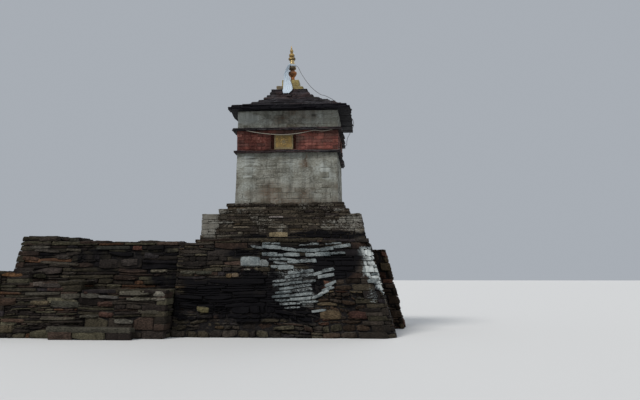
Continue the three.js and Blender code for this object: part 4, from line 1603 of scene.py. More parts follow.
@dataclass
class Plinth:
    """The plinth and the two steps above it, with the remains of pale plaster."""

    foot: Triple = (-1.975, 1.95, 1.925)
    top: Triple = (-1.955, 1.84, 1.88)
    low: float = 2.2503
    high: float = 2.84
    steps: tuple[tuple[str, float, float, float, float, float], ...] = (
        ("step_lower", -1.614, 1.546, 1.58, 2.8403, 2.995), ("step_upper", -1.45, 1.421, 1.44, 2.9953, 3.155))
    bury: float = 0.03
    paver_depth: float = 0.035
    covered_from: float = 0.3

    @staticmethod
    def rule() -> Rule:
        """Say where plaster is left, and darken the foot: soot and damp, and painted shade where the plinth
        meets the base.
        """
        stains = stained(
            Coat.WASH, (-1.78, 2.64, 0.24, 0.32, 1.0), (-1.42, 2.62, 0.3, 0.07, 0.65),
            (1.55, 2.68, 0.3, 0.13, 0.6), (-1.5, 2.93, 0.2, 0.07, 0.5), (1.3, 2.95, 0.2, 0.05, 0.4))
        # Dark along the foot: soot, and painted shade where the plinth meets the base.
        stains += stained(Coat.SOOT_AND_SHADE, (1.0, 2.33, 1.0, 0.12, 0.95), (-0.75, 2.3, 0.7, 0.07, 0.75))

        def everywhere(points: Array) -> Array:
            """Traces of plaster on every side, and darkening along the foot: damp, and painted shade where
            the plinth meets the base.
            """
            marks = np.zeros(points.shape)
            marks[..., 0] = np.clip(0.16 + 0.35 * ripple(points, 0.55, 5), 0, 0.42)
            # Painted shade along the foot, in the soot coat, with damp.
            marks[..., 1] = np.clip((2.38 - points[..., 2]) / 0.3, 0, 0.42)
            return marks

        return coat_rule(stains, everywhere)

    def build(self) -> None:
        """Lay the plinth, then the steps."""
        rule = self.rule()
        pavers = Pavers(size=(0.45, 0.3), relief=0.006, depth=0.045, wander=0.012)
        top = centred(*self.top)
        chosen = [Slab.measured(row) for row in PLINTH_STONES]
        lay_piece("plinth_stones", BROWN_STONE, "brown_stone", ("plinth",),
                  Masonry(centred(*self.foot), top, self.low - self.bury, self.high - self.paver_depth,
                          PLINTH_BOND, PLINTH_TINTS, 71, rule, chosen=((chosen, replace(LAID, depth=0.1)),),
                          recess=0.022, fill=(0.024, 0.02, 0.0155)),
                  Paving(top, self.high, PLINTH_TINTS, 73, pavers, rule, (-1.55, 1.48, -1.5, 1.5)))
        bond = replace(PLINTH_BOND, course=(0.05, 0.075), layer=(0.05, 0.075), wander=0.0)
        for number, (name, left, right, depth, low, high) in enumerate(self.steps):
            plan, rim = centred(left, right, depth), self.covered_from
            lay_piece(f"{name}_stones", BROWN_STONE, "brown_stone", (name,),
                      Masonry(plan, plan, low - self.bury, high - self.paver_depth, bond, PLINTH_TINTS,
                              81 + number, rule),
                      Paving(plan, high, PLINTH_TINTS, 85 + number, pavers, rule,
                             (left + rim, right - rim, -depth + rim, depth - rim)))


@dataclass
class Tower:
    """The limewashed shaft, the red band with its niches, and the neck under the roof."""

    shaft: Four = (1.277, 1.247, 3.1553, 4.42)
    band: Five = (-1.25, 1.28, 1.262, 4.4803, 4.9853)
    neck: Five = (-1.24, 1.27, 1.25, 5.0479, 5.4773)
    niche: Four = (0.626, 0.4, 0.022, 0.14)
    front_offset: float = -0.085

    @staticmethod
    def shaft_rule() -> Rule:
        """Say how much limewash is left on the shaft, and where it is stained."""
        stains = stained(Coat.RUST, (0.5, 4.18, 0.055, 0.24, 0.8), (0.3, 4.05, 0.3, 0.1, 0.5))
        stains += stained(Coat.SOOT_AND_SHADE, (1.0, 3.81, 0.22, 0.022, 1.0), (-0.45, 4.24, 0.14, 0.02, 0.6),
                          (-0.9, 4.27, 0.15, 0.025, 0.55))
        stains += stained(Coat.WASH, (0.98, 3.98, 0.32, 0.26, 1.15), (-0.98, 3.95, 0.24, 0.5, 1.05))

        def everywhere(points: Array) -> Array:
            """Limewash that thins towards the foot, and brown damp there."""
            marks = np.zeros(points.shape)
            high = np.clip((points[..., 2] - 3.15) / 1.2, 0, 1)
            marks[..., 0] = 0.35 + 0.3 * high + 0.22 * ripple(points, 0.6, 33)
            marks[..., 2] = np.clip(0.5 - 0.85 * high + 0.25 * ripple(points, 0.6, 34), 0, 0.6)
            return marks

        return coat_rule(stains, everywhere)

    @staticmethod
    def neck_rule() -> Rule:
        """Say where the neck is pale, and where damp has darkened it."""
        stains = stained(Coat.WASH, (-1.04, 5.25, 0.3, 0.2, 1.35), (1.05, 5.2, 0.3, 0.26, 1.0))
        stains += stained(Coat.SOOT_AND_SHADE, (-0.45, 5.33, 0.06, 0.08, 0.5), (0.65, 5.36, 0.1, 0.06, 0.4))

        def everywhere(points: Array) -> Array:
            """Thin limewash with damp patches under the eave."""
            marks = np.zeros(points.shape)
            marks[..., 0] = 0.5 + 0.3 * ripple(points, 0.5, 35)
            marks[..., 2] = np.clip(0.15 + 0.35 * ripple(points, 0.5, 36), 0, 0.45)
            return marks

        return coat_rule(stains, everywhere)

    @staticmethod
    def band_rule(points: Array) -> Array:
        """Say where the red wash has gone brown, towards the middle of each side, or has come off."""
        marks = np.zeros(points.shape)
        side = np.minimum(np.abs(points[..., 0]), np.abs(points[..., 1]))
        marks[..., 2] = np.clip(0.72 - 0.6 * side + 0.3 * ripple(points, 0.35, 37), 0, 0.8)
        marks[..., 0] = np.clip(-0.05 + 0.3 * ripple(points, 0.3, 38), 0, 0.22)
        return marks

    def build(self) -> None:
        """Lay the shaft, the band and the neck."""
        foot, top, low, high = self.shaft
        lay_piece("shaft_stones", LIMEWASHED, "limewash", ("shaft",),
                  Masonry(centred(-foot, foot, foot), centred(-top, top, top), low, high, SHAFT_BOND,
                          SHAFT_TINTS, 101, self.shaft_rule(), recess=0.018, fill=(0.1, 0.095, 0.08)))

        left, right, depth, low, high = self.band
        wide, tall, sill, deep = self.niche
        middle = (right - left) / 2 - wide / 2
        starts = (self.front_offset - wide / 2 - left, depth - wide / 2, middle, depth - wide / 2)
        windows = {side: (start, start + wide, sill, sill + tall) for side, start in enumerate(starts)}
        beds = [0.0, *(np.linspace(sill, sill + tall, 6) / (high - low)), 1.0]
        plan = centred(left, right, depth)
        bond = replace(SHAFT_BOND, stone=(0.16, 0.5), layer=(0.08, 0.09), blocks=0.0, joint=0.002,
                       relief=0.004, depth=0.15, wander=0.0, quoin=(0.16, 0.34), taper=0.12)
        lay_piece("red_band_stones", RED_WASHED, "red_wash", ("red_band",),
                  Masonry(plan, plan, low, high, bond, RED_TINTS, 111, self.band_rule, windows=windows,
                          beds=beds, recess=deep, fill=(0.14, 0.055, 0.04)))

        left, right, depth, low, high = self.neck
        plan = centred(left, right, depth)
        lay_piece("neck_stones", LIMEWASHED, "limewash", ("neck",),
                  Masonry(plan, plan, low, high, SHAFT_BOND, NECK_TINTS, 121, self.neck_rule(), recess=0.018,
                          fill=(0.08, 0.076, 0.06)))


@dataclass
class NichePanel:
    """A painted board in a niche: a pale border around an ochre field with a lotus rosette."""

    name: str
    turn: float
    face: float
    offset: float
    size: Pair = (0.472, 0.377)
    low: float = 4.503
    thickness: float = 0.05
    set_back: float = 0.055
    field_back: float = 0.008
    rosette_up: float = 0.012
    back_tint: float = 0.04
    columns: int = 84
    rows: int = 68

    def picture(self, x: Array, y: Array) -> tuple[Array, Array]:
        """Give the paint and the relief at places on the board.

        Args:
            x: Metres from the middle, to the right.
            y: Metres from the middle, upwards.

        Returns:
            The colours and the heights above the field.
        """
        gold, pale, brown = np.array(((0.27, 0.174, 0.042), (0.19, 0.146, 0.064), (0.075, 0.038, 0.016)))
        colour = np.broadcast_to((0.18, 0.113, 0.023), (*x.shape, 3)).copy()
        relief = np.zeros(x.shape)
        edge = np.minimum(self.size[0] / 2 - np.abs(x), self.size[1] / 2 - np.abs(y))
        lifted = y - self.rosette_up
        away = np.hypot(x, lifted)
        angle = np.arctan2(lifted, x)
        petal = 0.068 + 0.036 * np.abs(np.cos(4 * angle))
        inner = 0.034 + 0.02 * np.abs(np.sin(4 * angle))
        near = np.hypot(np.abs(x) - 0.175, np.abs(lifted) - 0.1)
        strip = (y < 0.055 - self.size[1] / 2) & (y > 0.028 - self.size[1] / 2) & (edge > 0.02)
        for where, paint, raised in (
            (away < petal, gold, 0.0035), (np.abs(away - petal) < 0.005, brown, 0.0035),
            (away < inner, pale, 0.006), (np.abs(away - inner) < 0.0035, brown, 0.006),
            (away < 0.014, brown, 0.008),
            ((np.abs(near - 0.026) < 0.006) | (near < 0.008), gold, 0.002), (edge < 0.036, brown, 0.002),
            (edge < 0.03, pale, 0.008), (strip, pale, 0.002), (edge < 0.01, 0.7 * pale, 0.004),
        ):
            colour[where] = paint
            relief[where] = raised
        return colour, relief

    def build(self) -> None:
        """Mesh the board with its relief and stand it in its niche."""
        across = np.linspace(-self.size[0] / 2, self.size[0] / 2, self.columns)
        up = np.linspace(-self.size[1] / 2, self.size[1] / 2, self.rows)
        x, y = np.meshgrid(across, up)
        colour, relief = self.picture(x, y)
        away = -self.face + self.set_back
        height = y + self.low + self.size[1] / 2
        front = np.stack([x + self.offset, away + self.field_back - relief, height], -1)
        back = front.copy()
        back[..., 1] = away + self.thickness
        index = np.arange(self.rows * self.columns).reshape(self.rows, self.columns)
        rim = np.concatenate([index[0, :], index[1:, -1], index[-1, -2::-1], index[-2:0:-1, 0]])
        beyond = np.roll(rim, -1)
        total = index.size
        sides = np.stack([rim, rim + total, beyond + total, beyond], -1)
        corners = np.array([[index[0, 0], index[-1, 0], index[-1, -1], index[0, -1]]]) + total
        points = np.concatenate([front.reshape(-1, 3), back.reshape(-1, 3)])
        tints = np.concatenate([colour.reshape(-1, 3), np.full((total, 3), self.back_tint)])
        faces = np.concatenate([grid_faces(self.rows, self.columns), sides, corners])
        parts = MeshParts()
        parts.add(points @ np.array(Matrix.Rotation(self.turn, 3, "Z")).T, faces, tints)
        parts.build(f"painted_board_{self.name}", PANEL_PAINT, "panel_paint", (f"niche_panel_{self.name}",))


NICHE_PANELS = (
    NichePanel("front", 0.0, 1.262, -0.085), NichePanel("right", math.pi / 2, 1.28, 0.0),
    NichePanel("back", math.pi, 1.262, -0.015), NichePanel("left", -math.pi / 2, 1.25, 0.0),
)


@dataclass
class Roof:
    """The two string courses, the stacked slate roof and its cap slab."""

    reaches: tuple[Triple, ...] = (
        (-1.444, 1.588, 1.52), (-1.39, 1.51, 1.47), (-1.19, 1.4, 1.32), (-0.985, 1.265, 1.16),
        (-0.795, 1.085, 1.0), (-0.695, 0.86, 0.83), (-0.61, 0.64, 0.68), (-0.545, 0.52, 0.57))
    thicknesses: tuple[float, ...] = (0.065, 0.067, 0.078, 0.09, 0.09, 0.1, 0.1, 0.1)
    cap: Triple = (-0.52, 0.425, 0.465)
    start: float = 5.4776

    @staticmethod
    def rule(points: Array) -> Array:
        """Say where the slates have weathered red-brown, and lay painted shade on their lowest edges."""
        marks = np.zeros(points.shape)
        # Painted shade, in the soot coat, on the lowest edges of the eave.
        marks[..., 1] = np.clip((5.615 - points[..., 2]) / 0.03, 0, 1.2) * (points[..., 2] > 5.3)
        marks[..., 2] = np.clip(0.2 + 0.5 * ripple(points, 0.5, 44), 0, 0.6)
        return marks

    def course(self, name: str, foot: Sequence[float], top: Sequence[float], low: float, high: float,
               bond: Bond, slate: float, seed: int) -> None:
        """Lay one course of slates on all four sides.

        Args:
            name: The node it stands for.
            foot: Left, right and depth at its bed.
            top: The same at its top.
            low: The height of its bed.
            high: The height of its top.
            bond: How the slates are laid and shaped.
            slate: How thick a slate is, about.
            seed: Seed of their unevenness.
        """
        beds = np.linspace(0, 1, max(1, round((high - low) / slate)) + 1)
        lay_piece(f"{name}_slates", SLATE, "slate", (name,),
                  Masonry(centred(*foot), centred(*top), low, high, bond, SLATE_TINTS, seed, self.rule,
                          beds=beds, recess=0.07))

    def build(self) -> None:
        """Lay every course from the lower string course up."""
        lower, upper = (-1.312, 1.336, 1.33), (-1.357, 1.364, 1.35)
        self.course("lower_string_course", lower, lower, 4.4203, 4.48, SLATES, 0.03, 201)
        self.course("upper_string_course", upper, upper, 4.9856, 5.0473, SLATES, 0.03, 202)
        eave = replace(SLATES, droop=0.02, relief=0.01, rough=0.004)
        slope = replace(SLATES, droop=0.05, relief=0.018, rough=0.008)
        level = self.start
        ends = (*self.reaches[1:], self.cap)
        for number, (reach, inner, thick) in enumerate(zip(self.reaches, ends, self.thicknesses)):
            bond, slate, share = (eave, 0.034, 0.15) if number < 2 else (slope, 0.047, 0.45)
            top = [a + (b - a) * share for a, b in zip(reach, inner)]
            depth = max(abs(reach[0] - inner[0]), abs(reach[1] - inner[1])) + 0.24
            bond = replace(bond, stone=(0.45, 1.1) if number < 5 else (0.25, 0.6), depth=depth)
            self.course(f"roof_course_{number + 1}", reach, top, level, level + thick - JOINT, bond, slate,
                        210 + number)
            level += thick
        flat = replace(SLATES, stone=(0.4, 0.7), droop=0.0, relief=0.006, depth=0.45)
        self.course("roof_cap_slab", self.cap, self.cap, level, level + 0.0797, flat, 0.045, 230)


# A worn block has so many points along an edge, and its faces are uneven in waves this long.
BLOCK_POINTS = 26
BLOCK_WAVES = 0.12


def worn_block(low: Sequence[float], high: Sequence[float], radius: float, rough: float, seed: int,
               slump: float = 0.0) -> tuple[Array, Array]:
    """Give a block with rounded, uneven edges.

    Args:
        low: Its lowest corner.
        high: Its highest corner.
        radius: How round its edges are.
        rough: How uneven its faces are.
        seed: Seed of the unevenness.
        slump: How far the right side's top is worn down.

    Returns:
        Its points and its faces.
    """
    steps = np.linspace(-1, 1, BLOCK_POINTS)
    a, b = np.meshgrid(steps, steps)
    one = np.ones_like(a)
    sides = [(a, b, one), (-a, b, -one), (one, a, b), (-one, -a, b), (b, one, a), (b, -one, -a)]
    middle, half = (np.array(low) + np.array(high)) / 2, (np.array(high) - np.array(low)) / 2
    points = np.concatenate([np.stack(side, -1).reshape(-1, 3) for side in sides]) * half
    face = grid_faces(BLOCK_POINTS, BLOCK_POINTS)
    faces = np.concatenate([face + number * BLOCK_POINTS**2 for number in range(6)])
    core = np.clip(points, radius - half, half - radius)
    away = points - core
    length = np.linalg.norm(away, axis=1, keepdims=True)
    unit = away / length
    rounded = core + unit * np.minimum(length, radius)
    rounded -= unit * np.abs(ripple(rounded + middle, BLOCK_WAVES, seed))[:, None] * rough
    worn = np.clip(rounded[:, :1] / half[0] - 0.1, 0, 1) * np.clip(rounded[:, 2:] / half[2] + 0.2, 0, 1)
    rounded[:, 2:] -= slump * worn
    return rounded + middle, faces


@dataclass
class Pedestal:
    """The two stepped blocks of ochre-washed plaster under the finial."""

    lower: Five = (-0.4, 0.318, 0.36, 6.2479, 6.3793)
    upper: Five = (-0.268, 0.192, 0.23, 6.3796, 6.5693)

    def build(self) -> None:
        """Mesh both blocks, browner at the lower left."""
        for name, size, slump in (("lower", self.lower, 0.03), ("upper", self.upper, 0.0)):
            left, right, depth, low, high = size
            points, faces = worn_block((left, -depth, low), (right, depth, high), 0.025, 0.01, 301, slump)
            brown = np.clip((-0.12 - points[:, :1]) / 0.15, 0, 1) * (name == "lower")
            tints = np.array((0.27, 0.21, 0.06)) * (1 - brown) + np.array((0.15, 0.11, 0.055)) * brown
            parts = MeshParts()
            parts.add(points, faces, tints)
            parts.build(f"pedestal_{name}_block", OCHRE_PAINT, "ochre_paint", (f"pedestal_{name}",),
                        smooth=True)


@dataclass(frozen=True)
class Turning:
    """One turned piece of the finial: its profile as radius and height in millimetres, and its petals."""

    name: str
    rise: float
    profile: tuple[Pair, ...]
    finish: Finish
    slot: str = "gilt"
    petals: int = 0
    petal_depth: float = 0.0
    petal_span: Pair = (0.0, 0.0)


# The rings of the cone, in millimetres: three points to a ring, the first one in its groove.
CONE_RINGS = tuple((92 - 0.27 * z - dip, z) for z, dip in (
    *((18 + 20 * ring + rise, 0 if rise else 6) for ring in range(5) for rise in (0, 8, 16)), (118, 6)))


@dataclass
class Finial:
    """The turned finial, piece on piece, leaning a little to the left."""

    at: Triple = (0.005, 0.0, 6.57416)
    lean: float = -2.7
    around: int = 72
    petal_ease: float = 0.006
    pieces: tuple[Turning, ...] = (
        Turning("finial_foot", 0.11, (
            (84, 0), (88, 6), (88, 18), (80, 24), (72, 34), (64, 42), (56, 52), (52, 62), (56, 70), (58, 78),
            (54, 86), (48, 94), (48, 110)), COPPER, 'gilt', 12, 0.006, (0.018, 0.045)),
        Turning("finial_vase", 0.206, (
            (50, 0), (56, 10), (66, 24), (80, 42), (94, 64), (106, 86), (113, 100), (116, 108), (112, 113),
            (116, 118), (116, 130), (110, 144), (100, 156), (86, 165), (70, 172), (58, 179), (52, 186),
            (56, 192), (58, 199), (54, 206)), COPPER, 'worn_copper', 16, 0.004, (0.02, 0.1)),
        Turning("finial_lotus", 0.112, (
            (60, 0), (74, 8), (90, 18), (100, 32), (103, 46), (97, 54), (97, 58), (103, 66), (99, 80),
            (90, 92), (80, 102), (74, 112)), DARK_GILT, 'gilt', 14, 0.011, (0.006, 0.05)),
        Turning("finial_cone", 0.158, (
            (88, 0), (92, 7), (90, 14), *CONE_RINGS, (60, 126), (62, 134), (56, 138), (60, 146), (60, 158)
            ), GILT),
        Turning("finial_ring_lower", 0.094, (
            (64, 0), (80, 8), (92, 20), (97, 34), (92, 42), (92, 48), (96, 56), (89, 68), (74, 80), (60, 88),
            (52, 94)), DARK_GILT, 'gilt', 12, 0.007, (0.012, 0.042)),
        Turning("finial_ring_upper", 0.118, (
            (48, 0), (60, 10), (70, 22), (76, 36), (71, 44), (71, 50), (76, 58), (70, 72), (58, 88),
            (46, 100), (38, 110), (34, 118)), DARK_GILT, 'gilt', 10, 0.006, (0.014, 0.044)),
        Turning("finial_jewel", 0.118, (
            (26, 0), (30, 8), (40, 20), (45, 36), (45, 50), (41, 66), (34, 82), (26, 98), (20, 110),
            (18, 118)), DARK_GILT, 'gilt', 6, 0.005, (0.02, 0.08)),
        Turning("finial_tip", 0.088, (
            (18, 0), (19, 8), (15, 16), (16, 26), (13, 40), (9, 56), (5, 74), (2, 88)), DARK_GILT),
    )

    def build(self) -> None:
        """Turn every piece and set it in its place."""
        spin = np.array(Matrix.Rotation(math.radians(self.lean), 3, "Y")).T
        height = 0.0
        for item in self.pieces:
            rings, hollow = self._turned(item)
            rings = (rings + np.array((0, 0, height))) @ spin + np.array(self.at)
            parts = MeshParts()
            parts.add_tube(rings, hollow[..., None])
            parts.build(f"{item.name}_turned", item.finish, item.slot, (item.name,), smooth=True)
            height += item.rise + JOINT

    def _turned(self, item: Turning) -> tuple[Array, Array]:
        """Turn one profile, with its petals.

        Args:
            item: The piece.

        Returns:
            Its rings of points, and how far each point lies in a hollow.
        """
        rows = np.array(item.profile) / TABLE_UNIT
        profile = np.empty((2 * len(rows) - 1, 2))
        profile[0::2], profile[1::2] = rows, (rows[1:] + rows[:-1]) / 2
        angle = np.linspace(0, 2 * np.pi, self.around, endpoint=False)
        radius, level = (np.repeat(profile[:, i:i + 1], self.around, axis=1) for i in (0, 1))
        low, high = item.petal_span
        inside = np.clip((level - low) / self.petal_ease, 0, 1)
        inside = inside * np.clip((high - level) / self.petal_ease, 0, 1)
        hollow = inside * (1 - np.abs(np.cos(item.petals / 2 * angle)))[None] ** 2
        radius = radius - item.petal_depth * hollow
        return np.stack([radius * np.cos(angle), radius * np.sin(angle), level], -1), hollow


def smooth_route(points: Sequence[Sequence[float]], step: float) -> Array:
    """Run a centripetal curve through points, in even steps.

    Args:
        points: The points, in metres.
        step: The length of a step.

    Returns:
        The route, one row per step.
    """
    rows = np.array(points, dtype=float)
    rows = np.vstack([2 * rows[0] - rows[1], rows, 2 * rows[-1] - rows[-2]])
    fine = []
    for p in (rows[i:i + 4] for i in range(len(rows) - 3)):
        t = np.concatenate([[0], np.cumsum(np.linalg.norm(np.diff(p, axis=0), axis=1) ** 0.5)])
        s = np.linspace(t[1], t[2], 24, endpoint=False)[:, None]
        a = [(t[i + 1] - s) / (t[i + 1] - t[i]) * p[i] + (s - t[i]) / (t[i + 1] - t[i]) * p[i + 1]
             for i in range(3)]
        b = [(t[i + 2] - s) / (t[i + 2] - t[i]) * a[i] + (s - t[i]) / (t[i + 2] - t[i]) * a[i + 1]
             for i in range(2)]
        fine.append((t[2] - s) / (t[2] - t[1]) * b[0] + (s - t[1]) / (t[2] - t[1]) * b[1])
    fine = np.vstack([*fine, rows[-2]])
    along = np.concatenate([[0], np.cumsum(np.linalg.norm(np.diff(fine, axis=0), axis=1))])
    even = np.linspace(0, along[-1], max(2, round(along[-1] / step) + 1))
    return np.stack([np.interp(even, along, fine[:, k]) for k in range(3)], -1)


@dataclass
class Rope:
    """A laid rope of three strands along its route, with the step of its mesh and its lay in diameters."""

    name: str
    diameter: float
    length: float
    finish: FibreFinish
    points: tuple[Triple, ...]
    around: int = 12
    step: float = 0.55
    lay: float = 3.2
    core: float = 0.84
    swell: float = 0.16

    def build(self) -> None:
        route = smooth_route(self.points, self.step * self.diameter)
        ahead = unit_rows(np.gradient(route, axis=0))
        side = np.cross(ahead[0], (0.3, 0.2, 1.0))
        sides = []
        for way in ahead:
            side = unit_rows(side - way * (side @ way))
            sides.append(side)
        first = np.array(sides)[:, None]
        second = np.cross(ahead[:, None], first)
        angle = np.linspace(0, 2 * np.pi, self.around, endpoint=False)[None, :, None]
        twist = (np.arange(len(route)) * self.step / self.lay * 2 * np.pi)[:, None, None]
        lobe = np.abs(np.cos(1.5 * (angle - twist)))
        radius = self.diameter / 2 * (self.core + self.swell * lobe**0.7)
        rings = route[:, None] + radius * (np.cos(angle) * first + np.sin(angle) * second)
        parts = MeshParts()
        # Darker between the strands: painted shade.
        parts.add_tube(rings, (1 - lobe) ** 1.5)
        piece = parts.build(f"{self.name}_strands", self.finish, "rope", (self.name,), smooth=True)


ROPES = (
    Rope("spire_rope", 0.012, 4.01, DARK_ROPE, (
        (0.0776, 0, 7.01), (0.094, 0, 7.01), (0.132, -0.048, 6.976), (0.176, -0.112, 6.9),
        (0.238, -0.178, 6.762), (0.33, -0.275, 6.595), (0.43, -0.365, 6.438), (0.53, -0.45, 6.298),
        (0.625, -0.528, 6.19),
        (0.72, -0.6, 6.1), (0.815, -0.672, 6.022), (0.905, -0.735, 5.985), (1.01, -0.775, 5.925),
        (1.112, -0.7, 5.885), (1.205, -0.535, 5.838), (1.29, -0.35, 5.795), (1.36, -0.21, 5.755),
        (1.425, -0.085, 5.705), (1.53, 0.11, 5.632), (1.606, 0.29, 5.56), (1.622, 0.4, 5.47),
        (1.585, 0.56, 5.375), (1.505, 0.745, 5.278), (1.44, 0.905, 5.185), (1.418, 1.0, 5.11),
        (1.412, 1.066, 5.048), (1.39, 1.092, 5.016), (1.3643, 1.092, 5.016))),
    Rope("front_rope", 0.018, 2.22, ROPE_FIBRE, (
        (-1.01, -1.2623, 4.973), (-1.01, -1.286, 4.973), (-0.988, -1.304, 4.969), (-0.95, -1.311, 4.96),
        (-0.8, -1.312, 4.93), (-0.62, -1.312, 4.9), (-0.44, -1.316, 4.878), (-0.26, -1.318, 4.864),
        (-0.08, -1.318, 4.859), (0.1, -1.318, 4.866), (0.28, -1.315, 4.884), (0.45, -1.31, 4.912),
        (0.6, -1.31, 4.945), (0.68, -1.308, 4.96), (0.76, -1.308, 4.956), (0.86, -1.308, 4.94),
        (0.96, -1.308, 4.943), (1.06, -1.308, 4.958), (1.106, -1.304, 4.968), (1.128, -1.286, 4.973),
        (1.128, -1.2623, 4.973))),
)


@dataclass
class Scarf:
    """A long white scarf tied to the finial, over the pedestal and down on the roof."""

    stations: tuple[Four, ...] = (
        (-0.062, -0.096, 7.035, 0.046), (-0.101, -0.124, 6.985, 0.058), (-0.142, -0.152, 6.86, 0.084),
        (-0.158, -0.19, 6.74, 0.118), (-0.128, -0.2353, 6.576, 0.17), (-0.108, -0.31, 6.476, 0.215),
        (-0.095, -0.3652, 6.386, 0.235), (-0.085, -0.471, 6.257, 0.245), (-0.09, -0.5748, 6.175, 0.232),
        (-0.1, -0.628, 6.098, 0.15))
    folds: int = 5
    fold_depth: float = 0.012
    sway: float = 0.012
    fray: Pair = (0.006, 0.004)
    frayed_from: float = 0.85
    step: float = 0.014
    columns: int = 44
    turns: int = 2
    turns_from: float = 6.996
    turns_radius: float = 0.088
    turns_size: Pair = (0.009, 0.016)

    def build(self) -> None:
        """Mesh the cloth with its folds, and the turns around the finial."""
        rows = np.array(self.stations)
        route = smooth_route(rows[:, :3], self.step)
        along = np.concatenate([[0], np.linalg.norm(np.diff(route, axis=0), axis=1).cumsum()])
        stops = [np.argmin(np.linalg.norm(route - row[:3], axis=1)) for row in rows]
        width = np.interp(along, along[stops], rows[:, 3])
        ahead = unit_rows(np.gradient(route, axis=0))
        across = np.array((1.0, 0.0, 0.0))
        out = unit_rows(np.cross(across, ahead))
        out *= np.sign(1e-9 - out[:, 1:2])
        share = np.linspace(-0.5, 0.5, self.columns)
        down = along / along[-1]
        wave = np.sin(2 * np.pi * self.folds * share[None] * (0.5 + 0.5 * down)[:, None]
                      + 1.2 * np.sin(5 * down)[:, None])
        fine = 0.4 * np.sin(4.6 * np.pi * self.folds * share[None] + 6 * down[:, None])
        deep = (self.fold_depth * np.clip(1.25 - down, 0.25, 1))[:, None] * (wave + fine)
        sway = self.sway * np.sin(9 * down)[:, None] * (share[None] + 0.5)
        ragged = (self.fray[0] * np.sin(23 * share) + self.fray[1] * np.sin(61 * share))[None]
        ragged = ragged * np.clip((down - self.frayed_from) / (1 - self.frayed_from), 0, 1)[:, None]
        points = route[:, None] + across * (share[None] * width[:, None] + sway)[..., None]
        points = points + out[:, None] * deep[..., None] + ahead[:, None] * ragged[..., None]
        # Darker in the fold troughs: painted shade.
        hollow = np.clip(-0.5 * (wave + fine), 0, 1).reshape(-1, 1)
        parts = MeshParts()
        parts.add(points.reshape(-1, 3), grid_faces(len(route), self.columns), hollow)
        piece = parts.build("scarf_cloth", WHITE_CLOTH, "scarf_cloth", ("scarf",), smooth=True)
        self._knot()

    def _knot(self) -> None:
        """Wind the scarf round the leaning finial and close it with a knot."""
        turns = np.linspace(0, 2 * np.pi * self.turns, 150)
        level = self.turns_from + 0.012 * turns / np.pi
        radius = self.turns_radius + 0.004 * np.sin(3 * turns)
        way = np.stack([np.cos(turns + 3.9), np.sin(turns + 3.9), 0 * turns], -1)
        middle = np.stack([0.005 - 0.047 * (level - 6.574), 0 * level, level], -1)
        route = middle + radius[:, None] * way
        up = np.cross(unit_rows(np.gradient(route, axis=0)), way)
        angle = np.linspace(0, 2 * np.pi, 14, endpoint=False)
        fold = 1 + 0.25 * np.sin(5 * angle)[None] * np.cos(2.2 * turns)[:, None]
        out, rise = self.turns_size
        rings = route[:, None] + way[:, None] * (out * fold * np.cos(angle)[None])[..., None]
        rings = rings + up[:, None] * (rise * fold * np.sin(angle)[None])[..., None]
        parts = MeshParts()
        # The turns and the knot get a little painted shade all over.
        parts.add_tube(rings, 0.2)
        parts.add(*worn_block((-0.1, -0.118, 6.995), (-0.045, -0.07, 7.055), 0.02, 0.004, 402), 0.25)
        parts.build("scarf_knot", WHITE_CLOTH, "scarf_cloth", smooth=True)


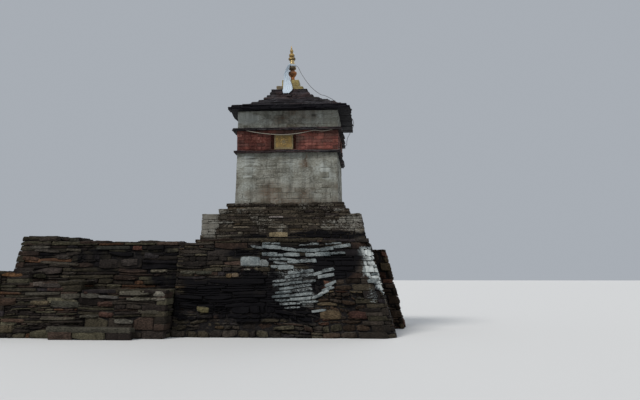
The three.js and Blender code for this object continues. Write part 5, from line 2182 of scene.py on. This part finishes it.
@dataclass
class Studio:
    """The camera, the pale floor and the soft light."""

    camera_at: Triple = (2.0435, -18.053, 1.4)
    yaw: float = 4.1446
    pitch: float = 6.187
    lens: float = 38.8125
    floor_reach: float = 160.0

    def add_camera(self) -> None:
        """Stand the camera where the picture was taken from."""
        data = bpy.data.cameras.new("camera")
        data.lens = self.lens
        data.sensor_width = 36.0
        data.clip_end = 400.0
        camera = add_object("camera", data)
        camera.location = self.camera_at
        yaw, pitch = math.radians(self.yaw), math.radians(self.pitch)
        way = Vector((-math.sin(yaw) * math.cos(pitch), math.cos(yaw) * math.cos(pitch), math.sin(pitch)))
        camera.rotation_euler = way.to_track_quat("-Z", "Y").to_euler()
        bpy.context.scene.camera = camera

    def light(self) -> None:
        """Lay the floor, and light the scene from the sky and from the left of the camera."""
        reach = self.floor_reach
        mesh = bpy.data.meshes.new("floor")
        corners = rectangle(-reach, reach, -reach, reach)
        mesh.from_pydata([(*corner, 0) for corner in corners], [], [(0, 1, 2, 3)])
        mesh.materials.append(Finish("pale_floor").make())
        floor = add_object("floor", mesh)
        world = bpy.data.worlds.new("sky")
        world.use_nodes = True
        sky = world.node_tree.nodes["Background"]
        sky.inputs["Color"].default_value = (0.78, 0.84, 0.92, 1.0)
        sky.inputs["Strength"].default_value = 0.5
        bpy.context.scene.world = world
        self._sun("key_light", (42, 0, -38), 2.3, 18.0, (1.0, 0.97, 0.93))
        self._sun("fill_light", (55, 0, 60), 0.7, 40.0, (0.93, 0.96, 1.0))
        self._sun("back_light", (58, 0, 165), 0.7, 40.0, (0.95, 0.97, 1.0))
        bpy.context.scene.view_settings.view_transform = "Standard"

    @staticmethod
    def _sun(name: str, turn: Sequence[float], strength: float, softness: float, tint: Colour) -> None:
        """Add one broad sun.

        Args:
            name: Its name.
            turn: How it is turned, in degrees.
            strength: How strong it is.
            softness: How wide it looks, in degrees.
            tint: Its colour.
        """
        data = bpy.data.lights.new(name, "SUN")
        data.energy = strength
        data.angle = math.radians(softness)
        data.color = tint
        lamp = add_object(name, data)
        lamp.rotation_euler = tuple(math.radians(v) for v in turn)


def dress_cores(nodes: dict) -> None:
    """Give the two rubble cores, which stay as they are imported, a stone finish."""
    for name in ("base_core", "terrace_core"):
        for slot in nodes[name].material_slots:
            slot.material = RUBBLE_FILL.make()
        LOG.info("%s: %d faces", name, len(nodes[name].data.polygons))


def main() -> None:
    """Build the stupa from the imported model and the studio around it."""
    logging.basicConfig(level=logging.INFO, format="%(name)s: %(message)s")
    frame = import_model()
    studio = Studio()
    studio.add_camera()
    for part in (*ROPES, Base(), Terrace(), Plinth(), Tower(), *NICHE_PANELS, Roof(), Pedestal(), Finial(),
                 Scarf()):
        part.build()
    dress_cores(frame["nodes"])
    studio.light()


if __name__ == "__main__":
    main()
